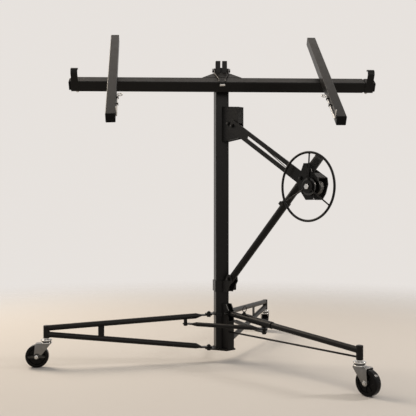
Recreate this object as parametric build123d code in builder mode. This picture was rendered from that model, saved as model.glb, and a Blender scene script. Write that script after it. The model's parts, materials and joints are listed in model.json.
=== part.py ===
from build123d import *
import math
import os

os.makedirs("parts", exist_ok=True)

# Driving dimensions, in millimetres and degrees.
# The origin is on the floor under the mast axis, +Z is up, and the left leg points along -X.

# Telescoping mast: three square tubes, each sliding in the next
MAST_SIDE = 60
MAST_WALL = 3
MAST_BOTTOM = 61
MAST_TOP = 1236
STAGE_1_SIDE = 50
STAGE_2_SIDE = 40
STAGE_WALL = 2.5
STAGE_1_BOTTOM = 80
STAGE_1_TOP = 1262
STAGE_2_BOTTOM = 90
STAGE_2_TOP = 1300
GLIDE_HEIGHT = 8
GLIDE_GAP = 0.3

# Cradle: it tilts on a pin at the top of the mast, and rests with its near edge down
TILT_PIVOT_HEIGHT = 1340
CRADLE_AZIMUTH = -8.5
CRADLE_TILT = 35
BEAM_SIDE = 50
BEAM_WALL = 2.5
BEAM_HALF = 640
BEAM_Y = -105
BEAM_Z = -22
ARM_SIDE = 40
ARM_LENGTH = 836
ARM_WALL = 2
LEFT_ARM_SHIFT = 9
RIGHT_ARM_SHIFT = -6
ARM_GAP = 0.3
LEFT_ARM_X = -489.5
RIGHT_ARM_X = 461
LEFT_ARM_SWING = 3.05
RIGHT_ARM_SWING = 0
CAP_LENGTH = 5
HOOK_ROD = 6
OUTRIGGER_SIDE = 44
OUTRIGGER_INSIDE = 410
OUTRIGGER_BLOCK = 38
OUTRIGGER_REST = (0, 8)
HORN_WIDTH = 30
HORN_STRIP = 5
HORN_RISE = 55
PIN_R = 6
ARM_STUD_R = 6
HEAD_WIDTH = 53
HEAD_DEPTH = 32
HEAD_TOP = 1383
HEAD_SLOT = 9
TILT_LUG = 8

# Tripod: the left and back legs fold on upright bolts, the right leg is fixed
LEFT_AZIMUTH = 180
BACK_AZIMUTH = 60
RIGHT_AZIMUTH = -60
SOCKET_RADIUS = 790
LEG_TUBE = 25
LEG_WALL = 2
LEG_PIVOT = 58
EYE_THICK = 5
EYE_R = 15
BOLT_R = 5
PIVOT_GAP = 0.3
UPPER_EYE_Z = 211.5
UPPER_END_Z = 173
LOWER_EYE_Z = 63.8
LOWER_END_Z = 145.5
NECK_RADIUS = 118
STRUT_RADIUS = 550
STRUT_WIDTH = 27
STRUT_THICK = 5
SOCKET_R = 13.5
SOCKET_BOTTOM = 130
SOCKET_TOP = 185
BASE_PLATE = 6
LUG_R = 18
LUG_ROOT_R = 30
LUG_PLATE_Z = 214.3
LUG_PLATE = 5
RIGHT_TUBE_START = 36
RIGHT_START_Z = 225
RIGHT_END_Z = 165
TIE_ROD = 8
TIE_ROD_Z = 139
BRACKET_HALF = 13
BRACKET_PLATE = 5

# Fold linkage: two braces tie the folding legs to a collar on the fixed leg
BRACE_LEG_RADIUS = 167
COLLAR_RADIUS = 280
BRACE_Z = (174.5, 160.5)
BRACE_TUBE = 19
BRACE_FLAT = 58
BRACE_AXIS_LEAN = 1.28
COLLAR_INNER = 193
COLLAR_OUTER = 329
COLLAR_SLEEVE_R = 15.5
COLLAR_TONGUE_END = 143
LOCK_PIN_RADIUS = 154

# Casters: 4 inch wheels
WHEEL_R = 50.8
WHEEL_WIDTH = 32
CASTER_TRAIL = 40
STEM_R = 6
STEM_FIT = 0.08
AXLE_R = 5
AXLE_FIT = 0.08
HUB_R = 14
HUB_DISH = 5
RIM_R = 37
TREAD_EDGE_R = 44
SHOULDER = 4
SHOULDER_R = 48.8
CROWN_HALF = 6
TRAIL_AZIMUTHS = {"left": 174.5, "right": -62, "back": 80}

# Winch group, in a plane through the mast axis: r outwards, z up, o towards the handwheel
POST_TUBE = 32
POST_WALL = 2.5
POST_FOOT = (60, 371)
POST_END = (592, 908)
POST_GRIP = 62
CLAMP_REACH = 490
CLAMP_HEIGHT = 14
CLAMP_BAND = 3
CLAMP_EAR = 22
CLAMP_EAR_WIDTH = 12
SHEAVE_CENTRE = (66, 1088)
SHEAVE_R = 24
SHEAVE_GROOVE = 19.6
PLATE_IN = 11
PLATE_OUT = 16
SLOT_BAR_IN = (100, 1075)
SLOT_BAR_OUT = (520, 820)
SLOT_BAR_WIDTH = 50
SLOT_BAR_THICK = 6
SLOT_WIDTH = 13
SLOT_SPAN = (112, 388)
DRUM_CENTRE = (566, 790)
FRAME_FRONT = 22
FRAME_BACK = -32
FRAME_PLATE = 4
DRUM_CORE_R = 28
DRUM_FLANGE_R = 40
DRUM_FRONT = 12
DRUM_BACK = -28
DRUM_FLANGE = 3
SHAFT_R = 10
CABLE_R = 2
CABLE_PITCH = 4.45
CABLE_TURNS = 4
CABLE_DRUM_O = -23
RATCHET_TEETH = 18
RATCHET_TIP_R = 33
RATCHET_ROOT_R = 28.5
RATCHET_O = 28
RATCHET_THICK = 6
WHEEL_PLANE_O = 42
HANDWHEEL_R = 137
HANDWHEEL_ROD = 5
SPOKE_R = 3
SPOKE_START = 4
PAWL_PIVOT = (552.15, 838.1)


def heading(azimuth):
    """Unit vector along the floor."""
    return Vector(math.cos(math.radians(azimuth)), math.sin(math.radians(azimuth)), 0)


def spot(azimuth, radius, height):
    """Point at a distance from the mast axis along a heading."""
    return heading(azimuth) * radius + Vector(0, 0, height)


def bar(start, end, radius):
    """Plain round bar between two points."""
    run = end - start
    with BuildPart() as rod:
        with BuildSketch(Plane(origin=start, z_dir=run)):
            Circle(radius)
        extrude(amount=run.length)
    return rod.part


def through_bolt(start, end, radius, head_radius):
    """Bolt whose shank spans start to end, with a hex head and a hex nut outside them."""
    run = end - start
    head = head_radius * 0.7
    with BuildPart() as bolt:
        with BuildSketch(Plane(origin=start, z_dir=run)):
            Circle(radius)
        extrude(amount=run.length)
        with BuildSketch(Plane(origin=start, z_dir=run), Plane(origin=end, z_dir=run * -1)):
            RegularPolygon(head_radius, 6)
        extrude(amount=-head)
    return bolt.part


WINCH_HEADING = heading(RIGHT_AZIMUTH)
WINCH_SIDE = WINCH_HEADING.cross(Vector(0, 0, 1))
WINCH = Plane(origin=(0, 0, 0), x_dir=WINCH_HEADING, z_dir=WINCH_SIDE)

CRADLE_ALONG = heading(CRADLE_AZIMUTH)
CRADLE_FLAT = Vector(0, 0, 1).cross(CRADLE_ALONG)
TILT_COS = math.cos(math.radians(CRADLE_TILT))
TILT_SIN = math.sin(math.radians(CRADLE_TILT))
CRADLE_UP = CRADLE_FLAT * TILT_COS + Vector(0, 0, TILT_SIN)
CRADLE_NORMAL = CRADLE_ALONG.cross(CRADLE_UP)
CRADLE = Plane(origin=(0, 0, TILT_PIVOT_HEIGHT), x_dir=CRADLE_ALONG, z_dir=CRADLE_NORMAL)


def winch_point(r, z, o):
    return WINCH.from_local_coords(Vector(r, z, o))


def cradle_point(x, y, z):
    return CRADLE.from_local_coords(Vector(x, y, z))


def cradle_section(x):
    """Plane across the beam at x: its own x runs up the slope, its y along the normal."""
    return Plane(origin=cradle_point(x, 0, 0), x_dir=CRADLE_UP, z_dir=CRADLE_ALONG)


def square_tube(bottom, top, side, wall):
    with BuildPart() as tube:
        with BuildSketch(Plane.XY.offset(bottom)):
            RectangleRounded(side, side, wall * 1.4)
            Rectangle(side - 2 * wall, side - 2 * wall, mode=Mode.SUBTRACT)
        extrude(amount=top - bottom)
    return tube.part


with BuildPart() as mast_block:
    with BuildSketch(Plane.XY):
        Rectangle(MAST_SIDE, MAST_SIDE)
    extrude(amount=MAST_TOP)


# Mast tubes and glides

mast_tube = square_tube(MAST_BOTTOM, MAST_TOP, MAST_SIDE, MAST_WALL)
mast_tube.label = "mast_tube"
export_step(mast_tube, "parts/mast_tube.step")

inner_mast = square_tube(STAGE_1_BOTTOM, STAGE_1_TOP, STAGE_1_SIDE, STAGE_WALL)
inner_mast.label = "inner_mast"
export_step(inner_mast, "parts/inner_mast.step")

top_mast = square_tube(STAGE_2_BOTTOM, STAGE_2_TOP, STAGE_2_SIDE, STAGE_WALL)
top_mast.label = "top_mast"
export_step(top_mast, "parts/top_mast.step")


def glide(base_z, outer, inner, throat):
    """Plastic guide on a tube's mouth: a rim on top and a skirt between the two tubes."""
    with BuildPart() as ring:
        with BuildSketch(Plane.XY.offset(base_z)):
            RectangleRounded(outer, outer, 3)
            Rectangle(inner, inner, mode=Mode.SUBTRACT)
        extrude(amount=GLIDE_HEIGHT)
        chamfer(ring.faces().sort_by(Axis.Z)[-1].outer_wire().edges(), 2)
        with BuildSketch(Plane.XY.offset(base_z)):
            Rectangle(throat, throat)
            Rectangle(inner, inner, mode=Mode.SUBTRACT)
        extrude(amount=-30)
    return ring.part


mast_glide = glide(MAST_TOP, MAST_SIDE, STAGE_1_SIDE + 2 * GLIDE_GAP, MAST_SIDE - 2 * MAST_WALL)
mast_glide.label = "mast_glide"
export_step(mast_glide, "parts/mast_glide.step")

inner_glide = glide(STAGE_1_TOP, STAGE_1_SIDE, STAGE_2_SIDE + 2 * GLIDE_GAP, STAGE_1_SIDE - 2 * STAGE_WALL)
inner_glide.label = "inner_glide"
export_step(inner_glide, "parts/inner_glide.step")

# Mast head: a slotted block that carries the tilt pin, turned with the cradle

HEAD = Plane(origin=(0, 0, STAGE_2_TOP), x_dir=CRADLE_ALONG, z_dir=(0, 0, 1))
PIN_START = cradle_point(-HEAD_WIDTH / 2 - 8, 0, 0)
PIN_END = cradle_point(HEAD_WIDTH / 2 + 8, 0, 0)

with BuildPart() as mast_head:
    with BuildSketch(HEAD):
        RectangleRounded(HEAD_WIDTH, HEAD_DEPTH, 3)
    extrude(amount=HEAD_TOP - STAGE_2_TOP)
    fillet(mast_head.faces().sort_by(Axis.Z)[-1].edges(), 2)
    with BuildSketch(HEAD.offset(6)):
        Rectangle(HEAD_SLOT, HEAD_DEPTH + 10)
    extrude(amount=HEAD_TOP, mode=Mode.SUBTRACT)
    with BuildSketch(Plane(origin=PIN_START, z_dir=CRADLE_ALONG)):
        Circle(PIN_R)
    extrude(amount=HEAD_WIDTH + 16, mode=Mode.SUBTRACT)
mast_head.part.label = "mast_head"
export_step(mast_head.part, "parts/mast_head.step")

tilt_pin = through_bolt(PIN_START, PIN_END, PIN_R, PIN_R + 4)
tilt_pin.label = "tilt_pin"
export_step(tilt_pin, "parts/tilt_pin.step")

# Cradle beam with the arms' pivot studs, gusset and tilt lug

BEAM_TOP = BEAM_Z + BEAM_SIDE / 2
BEAM_BACK = BEAM_Y + BEAM_SIDE / 2
BEAM_FRONT = BEAM_Y - BEAM_SIDE / 2

with BuildPart() as cradle_beam:
    with BuildSketch(cradle_section(-BEAM_HALF)):
        with Locations((BEAM_Y, BEAM_Z)):
            RectangleRounded(BEAM_SIDE, BEAM_SIDE, 4)
            Rectangle(BEAM_SIDE - 2 * BEAM_WALL, BEAM_SIDE - 2 * BEAM_WALL, mode=Mode.SUBTRACT)
    extrude(amount=2 * BEAM_HALF)
    for arm_x in (LEFT_ARM_X, RIGHT_ARM_X):
        stud_foot = Plane(origin=cradle_point(arm_x, BEAM_Y, BEAM_TOP - 1), z_dir=CRADLE_NORMAL)
        with BuildSketch(stud_foot):
            Circle(ARM_STUD_R)
        extrude(amount=1 + ARM_GAP + ARM_WALL + 1)
        with BuildSketch(stud_foot.offset(1 + ARM_GAP + ARM_WALL + PIVOT_GAP)):
            RegularPolygon(ARM_STUD_R + 4, 6)
        extrude(amount=9)
cradle_beam.part.label = "cradle_beam"
export_step(cradle_beam.part, "parts/cradle_beam.step")

GUSSET_THICK = 5
GUSSET_WIDE = 178
GUSSET_NARROW = 56
GUSSET_NOSE = -27

with BuildPart() as gusset:
    with BuildSketch(CRADLE.offset(BEAM_TOP - GUSSET_THICK)):
        with BuildLine():
            Polyline(
                (-GUSSET_WIDE / 2, BEAM_BACK),
                (GUSSET_WIDE / 2, BEAM_BACK),
                (GUSSET_NARROW / 2, GUSSET_NOSE),
                (-GUSSET_NARROW / 2, GUSSET_NOSE),
                close=True,
            )
        make_face()
    extrude(amount=GUSSET_THICK)
    with BuildSketch(cradle_section(-TILT_LUG / 2)):
        with BuildLine():
            Polyline(
                (BEAM_BACK, BEAM_TOP - 1),
                (BEAM_BACK, BEAM_Z - 2),
                (-30, -12),
                (-4, -14),
                (12, 0),
                (-4, 14),
                (GUSSET_NOSE, BEAM_TOP - 1),
                close=True,
            )
        make_face()
        Circle(14)
        Circle(PIN_R + PIVOT_GAP / 3, mode=Mode.SUBTRACT)
    extrude(amount=TILT_LUG)
gusset.part.label = "gusset"
export_step(gusset.part, "parts/gusset.step")

# Bail: a bent wire on the pin ends that hooks over the beam and holds the cradle level

BAIL_WIRE = 6
BAIL_EYE = 7
BAIL_X = HEAD_WIDTH / 2 + BAIL_EYE / 2 + 0.5
BAIL_BAR = 14
BAIL_Z = BEAM_TOP + BAIL_WIRE / 2 + 0.6
BAIL_FRONT = BEAM_FRONT - BAIL_WIRE / 2 - 0.6
BAIL_HOOK = BEAM_TOP - 11

with BuildPart() as bail:
    with BuildLine() as bail_path:
        FilletPolyline(
            cradle_point(BAIL_X, -5, BAIL_Z),
            cradle_point(BAIL_X, -45, BAIL_Z),
            cradle_point(BAIL_BAR, -105, BAIL_Z),
            cradle_point(BAIL_BAR, BAIL_FRONT, BAIL_Z),
            cradle_point(BAIL_BAR, BAIL_FRONT, BAIL_HOOK),
            cradle_point(-BAIL_BAR, BAIL_FRONT, BAIL_HOOK),
            cradle_point(-BAIL_BAR, BAIL_FRONT, BAIL_Z),
            cradle_point(-BAIL_BAR, -105, BAIL_Z),
            cradle_point(-BAIL_X, -45, BAIL_Z),
            cradle_point(-BAIL_X, -5, BAIL_Z),
            radius=5,
        )
    with BuildSketch(Plane(origin=bail_path.line @ 0, z_dir=bail_path.line % 0)):
        Circle(BAIL_WIRE / 2)
    sweep()
    for side in (-1, 1):
        with BuildSketch(cradle_section(side * BAIL_X - BAIL_EYE / 2)):
            Circle(PIN_R + 5)
        extrude(amount=BAIL_EYE)
        with BuildSketch(cradle_section(side * BAIL_X - BAIL_EYE / 2)):
            Circle(PIN_R + PIVOT_GAP)
        extrude(amount=BAIL_EYE, mode=Mode.SUBTRACT)
bail.part.label = "bail"
export_step(bail.part, "parts/bail.step")

# Cross-arms with end caps and panel hooks

ARM_BASE = BEAM_TOP + ARM_GAP
HOOK_RING_R = 10
HOOK_INSET = ARM_SIDE / 2 + HOOK_ROD / 2 + 1
HOOK_TOP = -198
HOOK_TIP = 22
HOOK_END_INSET = 14
HOOK_BEND = 8
GUIDE_WIDTH = 9.5
GUIDE_LENGTH = 5
GUIDE_HEIGHT = 10.5
GUIDE_SPOTS = (-225, -285)


def arm_plane(x, swing):
    """Plane on the beam's top at an arm's pivot: its y runs up along the arm."""
    turn = math.radians(swing)
    across = CRADLE_ALONG * math.cos(turn) + CRADLE_UP * math.sin(turn)
    return Plane(origin=cradle_point(x, BEAM_Y, ARM_BASE), x_dir=across, z_dir=CRADLE_NORMAL)


def build_arm(side, x, swing, shift):
    inward = -math.copysign(1, x)
    plane = arm_plane(x, swing)
    low = shift - ARM_LENGTH / 2
    high = shift + ARM_LENGTH / 2
    tube_length = ARM_LENGTH - 2 * CAP_LENGTH

    across = Plane(origin=plane.from_local_coords(Vector(0, low + CAP_LENGTH, 0)),
                   x_dir=plane.x_dir, z_dir=plane.y_dir)
    with BuildPart() as arm_tube:
        with BuildSketch(across):
            with Locations((0, -ARM_SIDE / 2)):
                RectangleRounded(ARM_SIDE, ARM_SIDE, 3)
                Rectangle(ARM_SIDE - 2 * ARM_WALL, ARM_SIDE - 2 * ARM_WALL, mode=Mode.SUBTRACT)
        extrude(amount=tube_length)
        with BuildSketch(plane):
            Circle(ARM_STUD_R + PIVOT_GAP)
        extrude(amount=ARM_WALL, mode=Mode.SUBTRACT)
        for guide_y in GUIDE_SPOTS:
            guide_plane = Plane(origin=plane.from_local_coords(Vector(0, guide_y, 0)),
                                x_dir=plane.x_dir, z_dir=plane.y_dir)
            with BuildSketch(guide_plane):
                with Locations((inward * (ARM_SIDE / 2 + GUIDE_WIDTH / 2), -ARM_SIDE / 2)):
                    Rectangle(GUIDE_WIDTH, GUIDE_HEIGHT)
                with Locations((inward * HOOK_INSET, -ARM_SIDE / 2)):
                    Circle(HOOK_ROD / 2 + PIVOT_GAP, mode=Mode.SUBTRACT)
            extrude(amount=-GUIDE_LENGTH)
    arm_tube.part.label = side + "_arm_tube"
    export_step(arm_tube.part, f"parts/{side}_arm_tube.step")

    with BuildPart() as caps:
        for end, way in ((low, 1), (high, -1)):
            end_plane = Plane(origin=plane.from_local_coords(Vector(0, end, 0)),
                              x_dir=plane.x_dir, z_dir=plane.y_dir)
            with BuildSketch(end_plane):
                with Locations((0, -ARM_SIDE / 2)):
                    RectangleRounded(ARM_SIDE, ARM_SIDE, 3)
            extrude(amount=way * CAP_LENGTH)
            with BuildSketch(end_plane.offset(way * CAP_LENGTH)):
                with Locations((0, -ARM_SIDE / 2)):
                    Rectangle(ARM_SIDE - 2 * ARM_WALL - 0.4, ARM_SIDE - 2 * ARM_WALL - 0.4)
            extrude(amount=way * 12)
    caps.part.label = side + "_arm_caps"
    export_step(caps.part, f"parts/{side}_arm_caps.step")

    hook_x = inward * HOOK_INSET
    rod_mid = ARM_SIDE / 2
    hook_low = low + HOOK_END_INSET
    with BuildPart() as hook:
        with BuildLine() as hook_path:
            FilletPolyline(
                plane.from_local_coords(Vector(hook_x, HOOK_TOP, rod_mid)),
                plane.from_local_coords(Vector(hook_x, hook_low, rod_mid)),
                plane.from_local_coords(Vector(hook_x, hook_low, ARM_SIDE + HOOK_TIP)),
                radius=HOOK_BEND,
            )
        with BuildSketch(Plane(origin=hook_path.line @ 0, z_dir=hook_path.line % 0)):
            Circle(HOOK_ROD / 2)
        sweep()
        ring_x = hook_x + inward * HOOK_RING_R
        ring_plane = Plane(origin=plane.from_local_coords(Vector(ring_x, HOOK_TOP, rod_mid)),
                           x_dir=plane.x_dir, z_dir=plane.z_dir)
        with Locations(ring_plane.location):
            Torus(HOOK_RING_R, HOOK_ROD / 2)
    hook.part.label = side + "_hook"
    export_step(hook.part, f"parts/{side}_hook.step")


build_arm("left", LEFT_ARM_X, LEFT_ARM_SWING, LEFT_ARM_SHIFT)
build_arm("right", RIGHT_ARM_X, RIGHT_ARM_SWING, RIGHT_ARM_SHIFT)

# Outriggers: inner tubes that slide out of the beam, each with an end block and a curled horn


def build_outrigger(side, way, slid_out):
    block_start = way * (BEAM_HALF + slid_out)
    inside = way * (BEAM_HALF + slid_out - OUTRIGGER_INSIDE)
    block_side = BEAM_SIDE
    block_mid = block_start + way * OUTRIGGER_BLOCK / 2
    with BuildPart() as outrigger:
        with BuildSketch(cradle_section(inside)):
            with Locations((BEAM_Y, BEAM_Z)):
                Rectangle(OUTRIGGER_SIDE, OUTRIGGER_SIDE)
                Rectangle(OUTRIGGER_SIDE - 5, OUTRIGGER_SIDE - 5, mode=Mode.SUBTRACT)
        extrude(amount=way * OUTRIGGER_INSIDE)
        with BuildSketch(cradle_section(block_start + way * 0.5)):
            with Locations((BEAM_Y, BEAM_Z)):
                RectangleRounded(block_side, block_side, 4)
        extrude(amount=way * (OUTRIGGER_BLOCK - 0.5))
        with BuildSketch(cradle_section(block_start)):
            with Locations((BEAM_Y, BEAM_Z)):
                Rectangle(OUTRIGGER_SIDE, OUTRIGGER_SIDE)
        extrude(amount=way * 2)
        with BuildSketch(cradle_section(block_mid - HORN_WIDTH / 2)):
            with BuildLine():
                strip_y = BEAM_FRONT + HORN_STRIP / 2
                rise = Line((strip_y, BEAM_Z), (strip_y, BEAM_TOP + HORN_RISE - 20))
                RadiusArc(rise @ 1, (strip_y + 33, BEAM_TOP + HORN_RISE - 12), 18)
            trace(line_width=HORN_STRIP)
        extrude(amount=HORN_WIDTH)
    outrigger.part.label = side + "_outrigger"
    export_step(outrigger.part, f"parts/{side}_outrigger.step")


build_outrigger("left", -1, OUTRIGGER_REST[0])
build_outrigger("right", 1, OUTRIGGER_REST[1])

# Folding legs: two tubes with flattened eyes at the mast, a strut, and a caster socket

UPPER_SLOPE = (UPPER_END_Z - UPPER_EYE_Z) / (SOCKET_RADIUS - LEG_PIVOT)
LOWER_SLOPE = (LOWER_END_Z - LOWER_EYE_Z) / (SOCKET_RADIUS - LEG_PIVOT)


def upper_z(radius):
    return UPPER_EYE_Z + UPPER_SLOPE * (radius - LEG_PIVOT)


def lower_z(radius):
    return LOWER_EYE_Z + LOWER_SLOPE * (radius - LEG_PIVOT)


def flattened_tube(azimuth, eye_z, neck_z, end_z, socket):
    """Leg tube whose mast end is pressed flat and drilled, cut round at its socket end."""
    outward = heading(azimuth)
    across = Vector(0, 0, 1).cross(outward)
    neck = spot(azimuth, NECK_RADIUS, neck_z)
    end = spot(azimuth, SOCKET_RADIUS, end_z)
    run = end - neck
    tube_plane = Plane(origin=neck, x_dir=across, z_dir=run)
    flat_start = spot(azimuth, LEG_PIVOT + 30, eye_z)
    eye_mid = spot(azimuth, LEG_PIVOT + 17, eye_z - EYE_THICK / 2)
    with BuildPart() as tube:
        with BuildSketch(tube_plane):
            Circle(LEG_TUBE / 2)
            Circle(LEG_TUBE / 2 - LEG_WALL, mode=Mode.SUBTRACT)
        extrude(amount=run.length)
        with BuildSketch(tube_plane):
            Circle(LEG_TUBE / 2)
        with BuildSketch(Plane(origin=flat_start, x_dir=across, z_dir=outward)):
            Ellipse(EYE_R, EYE_THICK / 2)
        loft()
        with BuildSketch(Plane(origin=eye_mid, x_dir=outward, z_dir=(0, 0, 1))):
            SlotCenterToCenter(34, 2 * EYE_R)
            with Locations((-17, 0)):
                Circle(BOLT_R + PIVOT_GAP, mode=Mode.SUBTRACT)
        extrude(amount=EYE_THICK)
        add(socket, mode=Mode.SUBTRACT)
    return tube.part


def socket_core(azimuth):
    return bar(spot(azimuth, SOCKET_RADIUS, SOCKET_BOTTOM), spot(azimuth, SOCKET_RADIUS, SOCKET_TOP),
               SOCKET_R)


def build_socket(side, azimuth):
    axis_base = Plane(origin=spot(azimuth, SOCKET_RADIUS, SOCKET_BOTTOM), z_dir=(0, 0, 1))
    with BuildPart() as socket:
        with BuildSketch(axis_base):
            Circle(SOCKET_R)
        extrude(amount=SOCKET_TOP - SOCKET_BOTTOM)
        fillet(socket.faces().sort_by(Axis.Z)[-1].edges(), 3)
        with BuildSketch(axis_base):
            Circle(STEM_R + STEM_FIT)
        extrude(amount=46, mode=Mode.SUBTRACT)
    socket.part.label = side + "_socket"
    export_step(socket.part, f"parts/{side}_socket.step")


def brace_axis(azimuth):
    """Brace bolts lean outwards a little at the top, square to the middle of the leg's slope."""
    lean = math.radians(BRACE_AXIS_LEAN)
    return heading(azimuth) * math.sin(lean) + Vector(0, 0, math.cos(lean))


def brace_stud(azimuth, eye_z):
    """Weld stud under a leg tube: a spacer, the pivot that the brace turns on, and its nut."""
    down = brace_axis(azimuth) * -1
    top = spot(azimuth, BRACE_LEG_RADIUS, eye_z) - down * (upper_z(BRACE_LEG_RADIUS) - eye_z)
    drop = upper_z(BRACE_LEG_RADIUS) - eye_z
    spacer = drop - EYE_THICK / 2 - PIVOT_GAP
    stud = drop + EYE_THICK / 2 + PIVOT_GAP
    with BuildPart() as pivot:
        with BuildSketch(Plane(origin=top, z_dir=down)):
            Circle(BOLT_R + 3)
        extrude(amount=spacer)
        with BuildSketch(Plane(origin=top, z_dir=down)):
            Circle(BOLT_R)
        extrude(amount=stud + 2)
        with BuildSketch(Plane(origin=top + down * stud, z_dir=down)):
            RegularPolygon(BOLT_R + 4, 6)
        extrude(amount=7)
    return pivot.part


def build_folding_leg(side, azimuth, eye_z):
    socket = socket_core(azimuth)
    plain_upper = flattened_tube(azimuth, UPPER_EYE_Z, upper_z(NECK_RADIUS), UPPER_END_Z, socket)
    stud = brace_stud(azimuth, eye_z)
    with BuildPart() as upper_tube:
        add(plain_upper)
        add(stud)
    upper_tube.part.label = side + "_leg_upper_tube"
    export_step(upper_tube.part, f"parts/{side}_leg_upper_tube.step")

    lower_tube = flattened_tube(azimuth, LOWER_EYE_Z, lower_z(NECK_RADIUS), LOWER_END_Z, socket)
    lower_tube.label = side + "_leg_lower_tube"
    export_step(lower_tube, f"parts/{side}_leg_lower_tube.step")

    outward = heading(azimuth)
    top_z = upper_z(STRUT_RADIUS)
    bottom_z = lower_z(STRUT_RADIUS)
    upper_bar = bar(spot(azimuth, NECK_RADIUS, upper_z(NECK_RADIUS)),
                    spot(azimuth, SOCKET_RADIUS, UPPER_END_Z), LEG_TUBE / 2)
    lower_bar = bar(spot(azimuth, NECK_RADIUS, lower_z(NECK_RADIUS)),
                    spot(azimuth, SOCKET_RADIUS, LOWER_END_Z), LEG_TUBE / 2)
    strut_plane = Plane(origin=spot(azimuth, STRUT_RADIUS, (top_z + bottom_z) / 2),
                        x_dir=outward, z_dir=outward.cross(Vector(0, 0, 1)))
    with BuildPart() as strut:
        with BuildSketch(strut_plane):
            Rectangle(STRUT_WIDTH, top_z - bottom_z)
        extrude(amount=STRUT_THICK / 2, both=True)
        add(upper_bar, mode=Mode.SUBTRACT)
        add(lower_bar, mode=Mode.SUBTRACT)
    strut.part.label = side + "_leg_strut"
    export_step(strut.part, f"parts/{side}_leg_strut.step")

    build_socket(side, azimuth)


build_folding_leg("left", LEFT_AZIMUTH, BRACE_Z[0])
build_folding_leg("back", BACK_AZIMUTH, BRACE_Z[1])

# Base of the mast: foot plate, lug plate and the fixed leg's bracket

LUG_SPOTS = (spot(LEFT_AZIMUTH, LEG_PIVOT, 0), spot(BACK_AZIMUTH, LEG_PIVOT, 0))
FOOT_CORNERS = (WINCH_HEADING * 64 + WINCH_SIDE * 24, WINCH_HEADING * 64 - WINCH_SIDE * 24)

with BuildPart() as base_plate:
    with BuildSketch(Plane.XY.offset(MAST_BOTTOM - BASE_PLATE)):
        with Locations(*LUG_SPOTS):
            Circle(LUG_R)
        with Locations(*FOOT_CORNERS):
            Circle(5)
        make_hull()
        with Locations(*LUG_SPOTS):
            Circle(BOLT_R, mode=Mode.SUBTRACT)
    extrude(amount=BASE_PLATE)
base_plate.part.label = "base_plate"
export_step(base_plate.part, "parts/base_plate.step")

with BuildPart() as leg_lugs:
    for lug in LUG_SPOTS:
        with BuildSketch(Plane.XY.offset(LUG_PLATE_Z)):
            with Locations(lug):
                Circle(LUG_R)
            with Locations(lug * 0.2):
                Circle(LUG_ROOT_R)
            make_hull()
        extrude(amount=LUG_PLATE)
    with BuildSketch(Plane.XY.offset(LUG_PLATE_Z)):
        with Locations(*LUG_SPOTS):
            Circle(BOLT_R)
    extrude(amount=LUG_PLATE, mode=Mode.SUBTRACT)
    add(mast_block.part, mode=Mode.SUBTRACT)
leg_lugs.part.label = "leg_lugs"
export_step(leg_lugs.part, "parts/leg_lugs.step")

RIGHT_SLOPE = (RIGHT_END_Z - RIGHT_START_Z) / (SOCKET_RADIUS - RIGHT_TUBE_START)
RIGHT_RUN = (spot(RIGHT_AZIMUTH, SOCKET_RADIUS, RIGHT_END_Z)
             - spot(RIGHT_AZIMUTH, RIGHT_TUBE_START, RIGHT_START_Z)).normalized()
RIGHT_UP = WINCH_SIDE.cross(RIGHT_RUN)


def right_z(radius):
    return RIGHT_START_Z + RIGHT_SLOPE * (radius - RIGHT_TUBE_START)


BRACKET_BOLT = (56, right_z(56))
TIE_START = 44
bracket_bolt_bar = bar(winch_point(*BRACKET_BOLT, -40), winch_point(*BRACKET_BOLT, 40), BOLT_R)
tie_rod_bar = bar(spot(RIGHT_AZIMUTH, TIE_START, TIE_ROD_Z),
                  spot(RIGHT_AZIMUTH, SOCKET_RADIUS, TIE_ROD_Z), TIE_ROD / 2)

with BuildPart() as leg_bracket:
    for near in (BRACKET_HALF, -BRACKET_HALF - BRACKET_PLATE):
        with BuildSketch(WINCH.offset(near)):
            with BuildLine():
                Polyline((20, MAST_BOTTOM), (68, MAST_BOTTOM), (68, 238), (52, 266), (20, 266), close=True)
            make_face()
        extrude(amount=BRACKET_PLATE)
    with BuildSketch(WINCH.offset(-BRACKET_HALF)):
        with BuildLine():
            Polyline((63, MAST_BOTTOM), (68, MAST_BOTTOM), (68, 190), (63, 190), close=True)
        make_face()
    extrude(amount=2 * BRACKET_HALF)
    add(mast_block.part, mode=Mode.SUBTRACT)
    add(bracket_bolt_bar, mode=Mode.SUBTRACT)
    add(tie_rod_bar, mode=Mode.SUBTRACT)
leg_bracket.part.label = "leg_bracket"
export_step(leg_bracket.part, "parts/leg_bracket.step")

# Fixed leg: sloping tube, tie rod and socket

right_socket = socket_core(RIGHT_AZIMUTH)

with BuildPart() as fixed_leg_tube:
    tube_start = spot(RIGHT_AZIMUTH, RIGHT_TUBE_START, RIGHT_START_Z)
    tube_run = spot(RIGHT_AZIMUTH, SOCKET_RADIUS, RIGHT_END_Z) - tube_start
    with BuildSketch(Plane(origin=tube_start, z_dir=tube_run)):
        Circle(LEG_TUBE / 2)
        Circle(LEG_TUBE / 2 - LEG_WALL, mode=Mode.SUBTRACT)
    extrude(amount=tube_run.length)
    add(right_socket, mode=Mode.SUBTRACT)
    add(bracket_bolt_bar, mode=Mode.SUBTRACT)
    add(mast_block.part, mode=Mode.SUBTRACT)
fixed_leg_tube.part.label = "fixed_leg_tube"
export_step(fixed_leg_tube.part, "parts/fixed_leg_tube.step")

with BuildPart() as tie_rod:
    add(tie_rod_bar)
    add(right_socket, mode=Mode.SUBTRACT)
tie_rod.part.label = "tie_rod"
export_step(tie_rod.part, "parts/tie_rod.step")

build_socket("right", RIGHT_AZIMUTH)

# Fold collar on the fixed leg, with its lock pin

COLLAR_BORE_R = LEG_TUBE / 2 + PIVOT_GAP
TONGUE_LIFT = LEG_TUBE / 2 + 0.6
TONGUE_THICK = 4
PIN_HOLE_R = 4.1
LOCK_PIN_R = 4


def right_spot(radius):
    return spot(RIGHT_AZIMUTH, radius, right_z(radius))


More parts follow.
